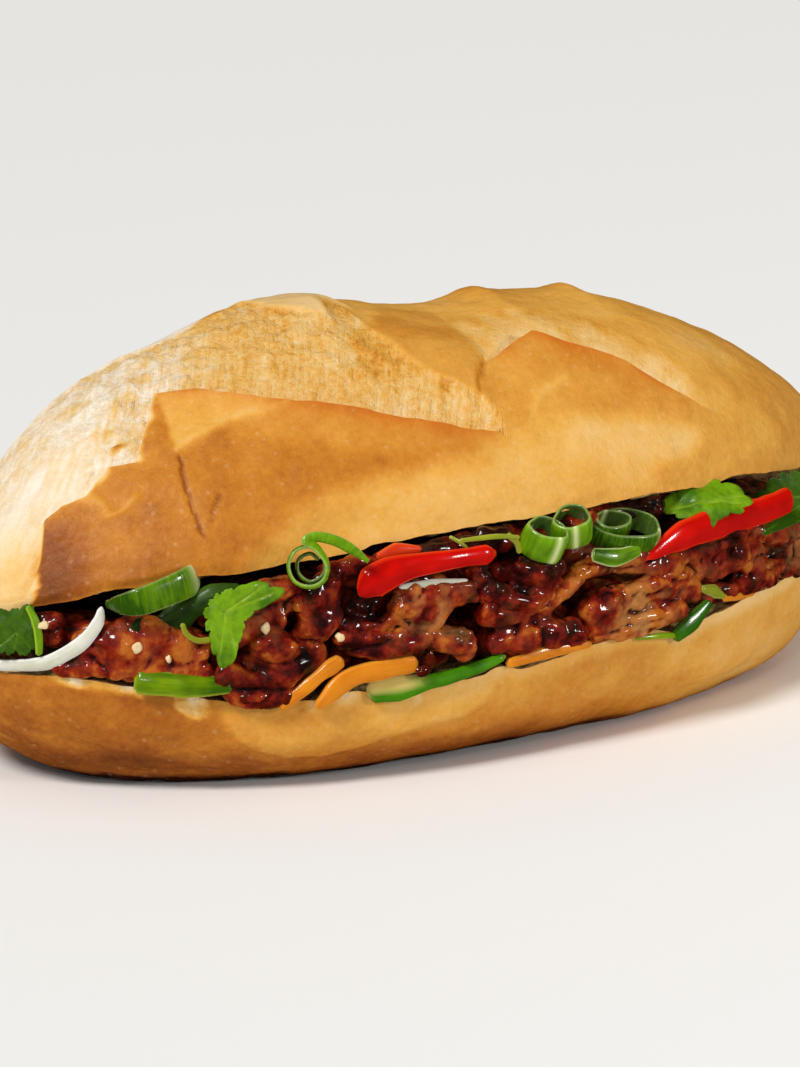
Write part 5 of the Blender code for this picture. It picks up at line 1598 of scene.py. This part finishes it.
@dataclass(frozen=True)
class Curl:
    """A narrow shred of scallion that has curled up edge on, with a tail that turns its face to the front.

    Each place of its route is how far right, up and forward it is of the middle, and how far its face has
    turned, from 0 to 1.
    """

    node: str = "scallion_2"
    middle: tuple = (-43.0, -42.2, 43.2)
    facing: tuple = (-0.473, -0.838, 0.274)
    route: tuple = (
        (1.6, 1.0, -1.6, 0.0), (0.2, 2.0, -1.4, 0.0), (-1.6, 1.0, -1.2, 0.0), (-1.6, -1.2, -0.9, 0.0),
        (0.4, -2.6, -0.6, 0.0), (2.6, -1.2, -0.2, 0.0), (2.5, 1.4, 0.2, 0.0), (0.4, 3.2, 0.6, 0.0),
        (-2.2, 2.6, 0.9, 0.0), (-3.3, 0.0, 1.1, 0.0), (-2.2, -2.6, 1.3, 0.0), (0.4, -3.5, 1.5, 0.1),
        (2.6, -2.4, 1.6, 0.1), (3.2, 0.2, 1.5, 0.15), (1.6, 3.0, 1.3, 0.4), (-0.4, 4.4, 1.0, 0.7),
        (1.6, 5.2, 0.8, 0.9), (5.0, 4.4, 0.6, 1.0), (8.2, 2.6, 0.4, 1.0), (10.6, 0.8, 0.2, 1.0))
    band: float = 2.0
    thickness: float = 0.6
    full_turn: float = 78.0

    def build(self) -> None:
        """Makes the curl."""
        along = np.linspace(0.0, 1.0, 170)
        right_up_forward = along_curve(self.route, along)
        normal = unit(np.array(self.facing))
        right = unit(np.cross((0.0, 0.0, 1.0), normal))
        view = np.stack([right, np.cross(normal, right), normal])
        path = right_up_forward[:, :3] @ view
        forward = unit(np.gradient(path, axis=0))
        turn = np.clip(right_up_forward[:, 3:], 0.0, 1.0) * math.radians(self.full_turn)
        axis = np.cos(turn) * normal + np.sin(turn) * unit(np.cross(normal, forward))
        axis = unit(axis - (axis * forward).sum(axis=1, keepdims=True) * forward)
        outward = unit(np.cross(forward, axis))
        height = self.band * np.clip(np.minimum(along, 1.0 - along) * 14.0, 0.2, 1.0) ** 0.5
        zero = 0.0 * along
        dark = 0.5 * smooth(0.7, 0.1, along)
        path = path + np.array(self.middle)
        Band(self.node, path, axis, outward, height, self.thickness, False, zero, dark).build()


@dataclass(frozen=True)
class Leaf:
    """A coriander leaf: a wavy toothed blade, veined from its middle.

    Its outline is given as angles in degrees, each with how far the blade reaches there.
    """

    node: str
    finish: Plant
    middle: tuple
    facing: tuple
    outline: tuple
    bend: float
    number: int
    teeth: float = 0.35
    thickness: float = 0.35

    def build(self) -> None:
        """Makes the leaf."""
        around, rings = 200, 16
        angle = np.linspace(-180.0, 180.0, around, endpoint=False)
        known = sorted(self.outline)
        degrees = [known[-1][0] - 360.0, *(a for a, _ in known), known[0][0] + 360.0]
        reaches = [known[-1][1], *(r for _, r in known), known[0][1]]
        rim = np.interp(angle, degrees, reaches)
        weights = np.exp(-(np.arange(-6, 7) / 3.0) ** 2)
        rim = np.convolve(np.concatenate([rim[-6:], rim, rim[:6]]), weights / weights.sum(), "valid")
        turn = np.radians(angle)
        lobes = np.abs(np.sin(turn * 5.5 + self.number + 0.5 * np.sin(turn * 3.0)))
        small = np.abs(np.sin(turn * 13.0 + 1.0))
        rim = rim * (0.82 + 0.26 * np.sqrt(lobes)) + self.teeth * (np.sqrt(small) - 0.6)
        share, theta = np.meshgrid(np.linspace(0.0, 1.0, rings)[1:], turn, indexing="ij")
        x, y = rim * share * np.cos(theta), rim * share * np.sin(theta)
        n = Unevenness(40 + self.number)
        spread = np.hypot(x, y)
        veins = np.zeros_like(x)
        # A vein runs to each far-reaching lobe.
        peaks = [(a, r) for a, r in known if r > 1.25 * np.mean(reaches)] or known[:3]
        for degrees_there, reach in peaks:
            towards = np.radians(degrees_there)
            ahead = x * np.cos(towards) + y * np.sin(towards)
            aside = np.abs(-x * np.sin(towards) + y * np.cos(towards))
            vein = np.exp(-(aside / 0.28) ** 2) * (ahead > 0.0) * smooth(reach, 0.6 * reach, ahead)
            veins = np.maximum(veins, vein)
        wave = 0.9 * n.noise(place(x, y, 0.0 * x), 5.0) * np.minimum(1.0, spread / 3.0)
        wave = wave + 0.35 * n.noise(place(x, y, 5.0 + 0.0 * x), 2.2) - 0.3 * veins
        wave = wave - self.bend * spread**2 / 10.0
        flat = np.vstack([[0.0, 0.0, wave[0].mean()], place(x, y, wave).reshape(-1, 3)])
        normal = unit(np.array(self.facing, float))
        right = unit(np.cross((0.0, 0.0, 1.0), normal))
        points = flat @ np.stack([right, np.cross(normal, right), normal]) + np.array(self.middle)
        grid = (grid_faces(rings - 1, around, closed=True) + 1).tolist()
        fan = [[0, 1 + (k + 1) % around, 1 + k] for k in range(around)]
        shade = 0.55 * smooth(-0.2, 0.7, n.noise(place(x, y, 9.0 + 0.0 * x), 4.0))
        pale, dark = np.append(0.6, (0.6 * veins).ravel()), np.append(0.2, shade.ravel())
        values = {"cut": pale, "dark": dark, "threads": flat}
        piece = make_piece(self.node + "_fresh", points, grid + fan, self.finish.value, values)
        blade = piece.modifiers.new("blade", "SOLIDIFY")
        blade.thickness = self.thickness * MM
        blade.offset = 0.0
        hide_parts(self.node)


LEAVES = (
    Leaf("leaf_1", Plant.HERB, (-58.6, -40.1, 36.6), (-0.40, -0.85, 0.35),
         ((20, 11.5), (6, 6.6), (-12, 3.9), (-50, 4.2), (-76, 7.8), (-98, 9.8), (-116, 5.2),
          (-152, 3.6), (144, 3.0), (86, 3.4), (50, 5.6), (33, 9.0)), 0.12, 0),
    Leaf("leaf_2", Plant.HERB, (43.0, -40.6, 42.4), (-0.15, -0.62, 0.72),
         ((179, 9.2), (-151, 5.0), (-122, 3.4), (-93, 4.2), (-62, 3.2), (-32, 4.6), (0, 7.8), (14, 9.6),
          (40, 6.8), (90, 5.8), (140, 6.6)), 0.30, 1),
    Leaf("leaf_3", Plant.HERB_DARK, (-88.6, -17.6, 31.4), (-0.50, -0.80, 0.25),
         ((10, 3.2), (60, 5.2), (100, 3.6), (140, 5.0), (180, 3.6), (-140, 5.2), (-95, 3.6),
          (-50, 4.6)), 0.15, 2),
    Leaf("leaf_4", Plant.HERB_DARK, (68.0, -32.0, 38.0), (-0.20, -0.90, 0.15),
         ((8, 9.5), (40, 5.0), (100, 4.6), (150, 6.0), (176, 7.6), (-150, 4.6), (-100, 4.4), (-60, 5.6),
          (-25, 5.0)), 0.10, 3),
)


@dataclass(frozen=True)
class Spots:
    """Many small bits of one kind, joined into one piece: lumps whose middles and sizes are given."""

    name: str
    finish: Finish
    slot: str
    places: tuple
    uneven: float

    def build(self) -> None:
        """Makes the bits as lumpy balls, stretched as given."""
        form = bmesh.new()
        bmesh.ops.create_icosphere(form, subdivisions=3, radius=1.0)
        ball = np.array([vertex.co[:] for vertex in form.verts])
        ball_faces = [[vertex.index for vertex in face.verts] for face in form.faces]
        form.free()
        points, faces = [], []
        for number, (x, y, z, wide, deep, high) in enumerate(self.places):
            bumps = Unevenness(70 + number).noise(ball * 2.0 + 9.0, 1.6)
            lump = ball * (1.0 + self.uneven * bumps[:, None])
            faces += [[corner + number * len(ball) for corner in face] for face in ball_faces]
            points.append(lump * (wide, deep, high) + (x, y, z))
        make_piece(self.name, np.vstack(points), faces, self.finish)


SPOTS = (
    Spots("peanut_bits", NutFinish(), "crust",
          ((-71.5, -31.2, 29.4, 1.0, 0.8, 1.1), (-50.6, -40.2, 32.3, 0.9, 0.8, 1.2),
           (-85.0, -21.2, 33.0, 0.9, 0.7, 0.7), (-37.4, -43.6, 29.6, 0.9, 0.7, 0.8),
           (-66.4, -33.4, 27.2, 0.5, 0.5, 0.7)), 0.35),
    Spots("sauce_drips", SyrupFinish(), "pork",
          ((-53.6, -39.4, 19.6, 1.9, 0.9, 1.3), (-51.6, -40.2, 18.6, 1.0, 0.7, 1.3),
           (-49.4, -40.6, 19.4, 2.2, 0.9, 1.2), (-46.9, -41.2, 19.2, 1.3, 0.8, 1.5),
           (-20.4, -46.2, 23.4, 0.8, 0.7, 1.6), (-22.2, -46.3, 21.5, 1.4, 0.9, 1.1)), 0.25),
)


@dataclass
class Studio:
    """A pale floor, soft light from the upper left, and the camera at the photo's angle.

    Angles are degrees, distances and the lens are millimetres, and the floor's size is metres.
    """

    azimuth: float = -29.45
    elevation: float = 15.88
    distance: float = 800.0
    aim: tuple = (-0.51, 0.29, 32.3)
    lens: float = 142.0
    sensor: float = 36.0
    orbit: tuple = (0.0, 0.0, 38.0)
    room_light: float = 0.31
    room_colour: tuple = (1.0, 1.0, 1.0, 1.0)
    floor_size: float = 30.0
    sunlight: tuple = (1.0, 0.985, 0.96)
    lamplight: tuple = (1.0, 0.99, 0.97)

    def build(self) -> None:
        """Sets up the floor, the lights and the camera."""
        self.floor()
        self.sun((-0.64, -0.22, 0.72), 2.2, 16.0)
        self.light("front_fill", (0.55, -0.85, 0.36), 0.14, 2.8)
        self.light("front_spark", (-0.62, -0.80, 0.62), 0.08, 0.8)
        self.room()
        self.camera()

    def room(self) -> None:
        """Surrounds the sandwich with even white light that doesn't show in its gloss."""
        world = bpy.data.worlds.new("soft_room")
        world.use_nodes = True
        world.node_tree.nodes["Background"].inputs["Color"].default_value = self.room_colour
        world.node_tree.nodes["Background"].inputs["Strength"].default_value = self.room_light
        world.cycles_visibility.glossy = False
        bpy.context.scene.world = world
        bpy.context.scene.view_settings.view_transform = "Standard"

    def floor(self) -> None:
        """Lays a pale floor."""
        bpy.ops.mesh.primitive_plane_add(size=self.floor_size, location=(0.0, 0.0, -0.3 * MM))
        floor = bpy.context.object
        floor.name = "floor"
        paint = bpy.data.materials.new("pale_floor")
        paint.use_nodes = True
        inputs = paint.node_tree.nodes["Principled BSDF"].inputs
        inputs["Base Color"].default_value = linear("#F7F6F4")
        inputs["Roughness"].default_value = 1.0
        inputs["Specular IOR Level"].default_value = 0.0
        floor.data.materials.append(paint)
        floor.visible_glossy = False

    def sun(self, where: tuple, strength: float, spread: float) -> None:
        """Lights everything evenly from one side, as a far soft lamp does.

        Args:
            where: The side that it shines from.
            strength: What falls on a face turned to it, in watts for each square metre.
            spread: How wide the lamp looks, in degrees, which softens the shadows.
        """
        lamp = bpy.data.lights.new("key", "SUN")
        lamp.energy = strength
        lamp.angle = math.radians(spread)
        lamp.color = self.sunlight
        key = bpy.data.objects.new("key", lamp)
        key.rotation_euler = (-Vector(where)).to_track_quat("-Z", "Y").to_euler()
        bpy.context.scene.collection.objects.link(key)

    def light(self, name: str, where: tuple, size: float, power: float) -> None:
        """Hangs a soft box that faces the sandwich.

        Args:
            name: The light's name.
            where: Its place in metres.
            size: The length of its sides in metres.
            power: Its power in watts.
        """
        lamp = bpy.data.lights.new(name, "AREA")
        lamp.shape = "SQUARE"
        lamp.size = size
        lamp.energy = power
        lamp.color = self.lamplight
        box = bpy.data.objects.new(name, lamp)
        box.location = where
        box.rotation_euler = (Vector((0.0, 0.0, 0.03)) - Vector(where)).to_track_quat("-Z", "Y").to_euler()
        bpy.context.scene.collection.objects.link(box)

    def camera(self) -> None:
        """Sets the camera at the photo's viewing angle."""
        a, e = math.radians(self.azimuth), math.radians(self.elevation)
        back = Vector((math.sin(a) * math.cos(e), -math.cos(a) * math.cos(e), math.sin(e)))
        data = bpy.data.cameras.new("camera")
        data.lens = self.lens
        data.sensor_width = self.sensor
        data.clip_start = 0.05
        camera = bpy.data.objects.new("camera", data)
        camera.location = (Vector(self.orbit) + self.distance * back) * MM
        look = Vector(self.aim) * MM - camera.location
        camera.rotation_mode = "QUATERNION"
        camera.rotation_quaternion = look.to_track_quat("-Z", "Y")
        bpy.context.scene.collection.objects.link(camera)
        bpy.context.scene.camera = camera


def main() -> None:
    """Builds the sandwich and the studio around it."""
    logging.basicConfig(level=logging.INFO, format="%(message)s")
    Studio().build()
    Roll().build()
    Pork().build()
    for part in (*STRIPS, *RINGS, Curl(), *LEAVES, *SPOTS):
        part.build()


if __name__ == "__main__":
    main()
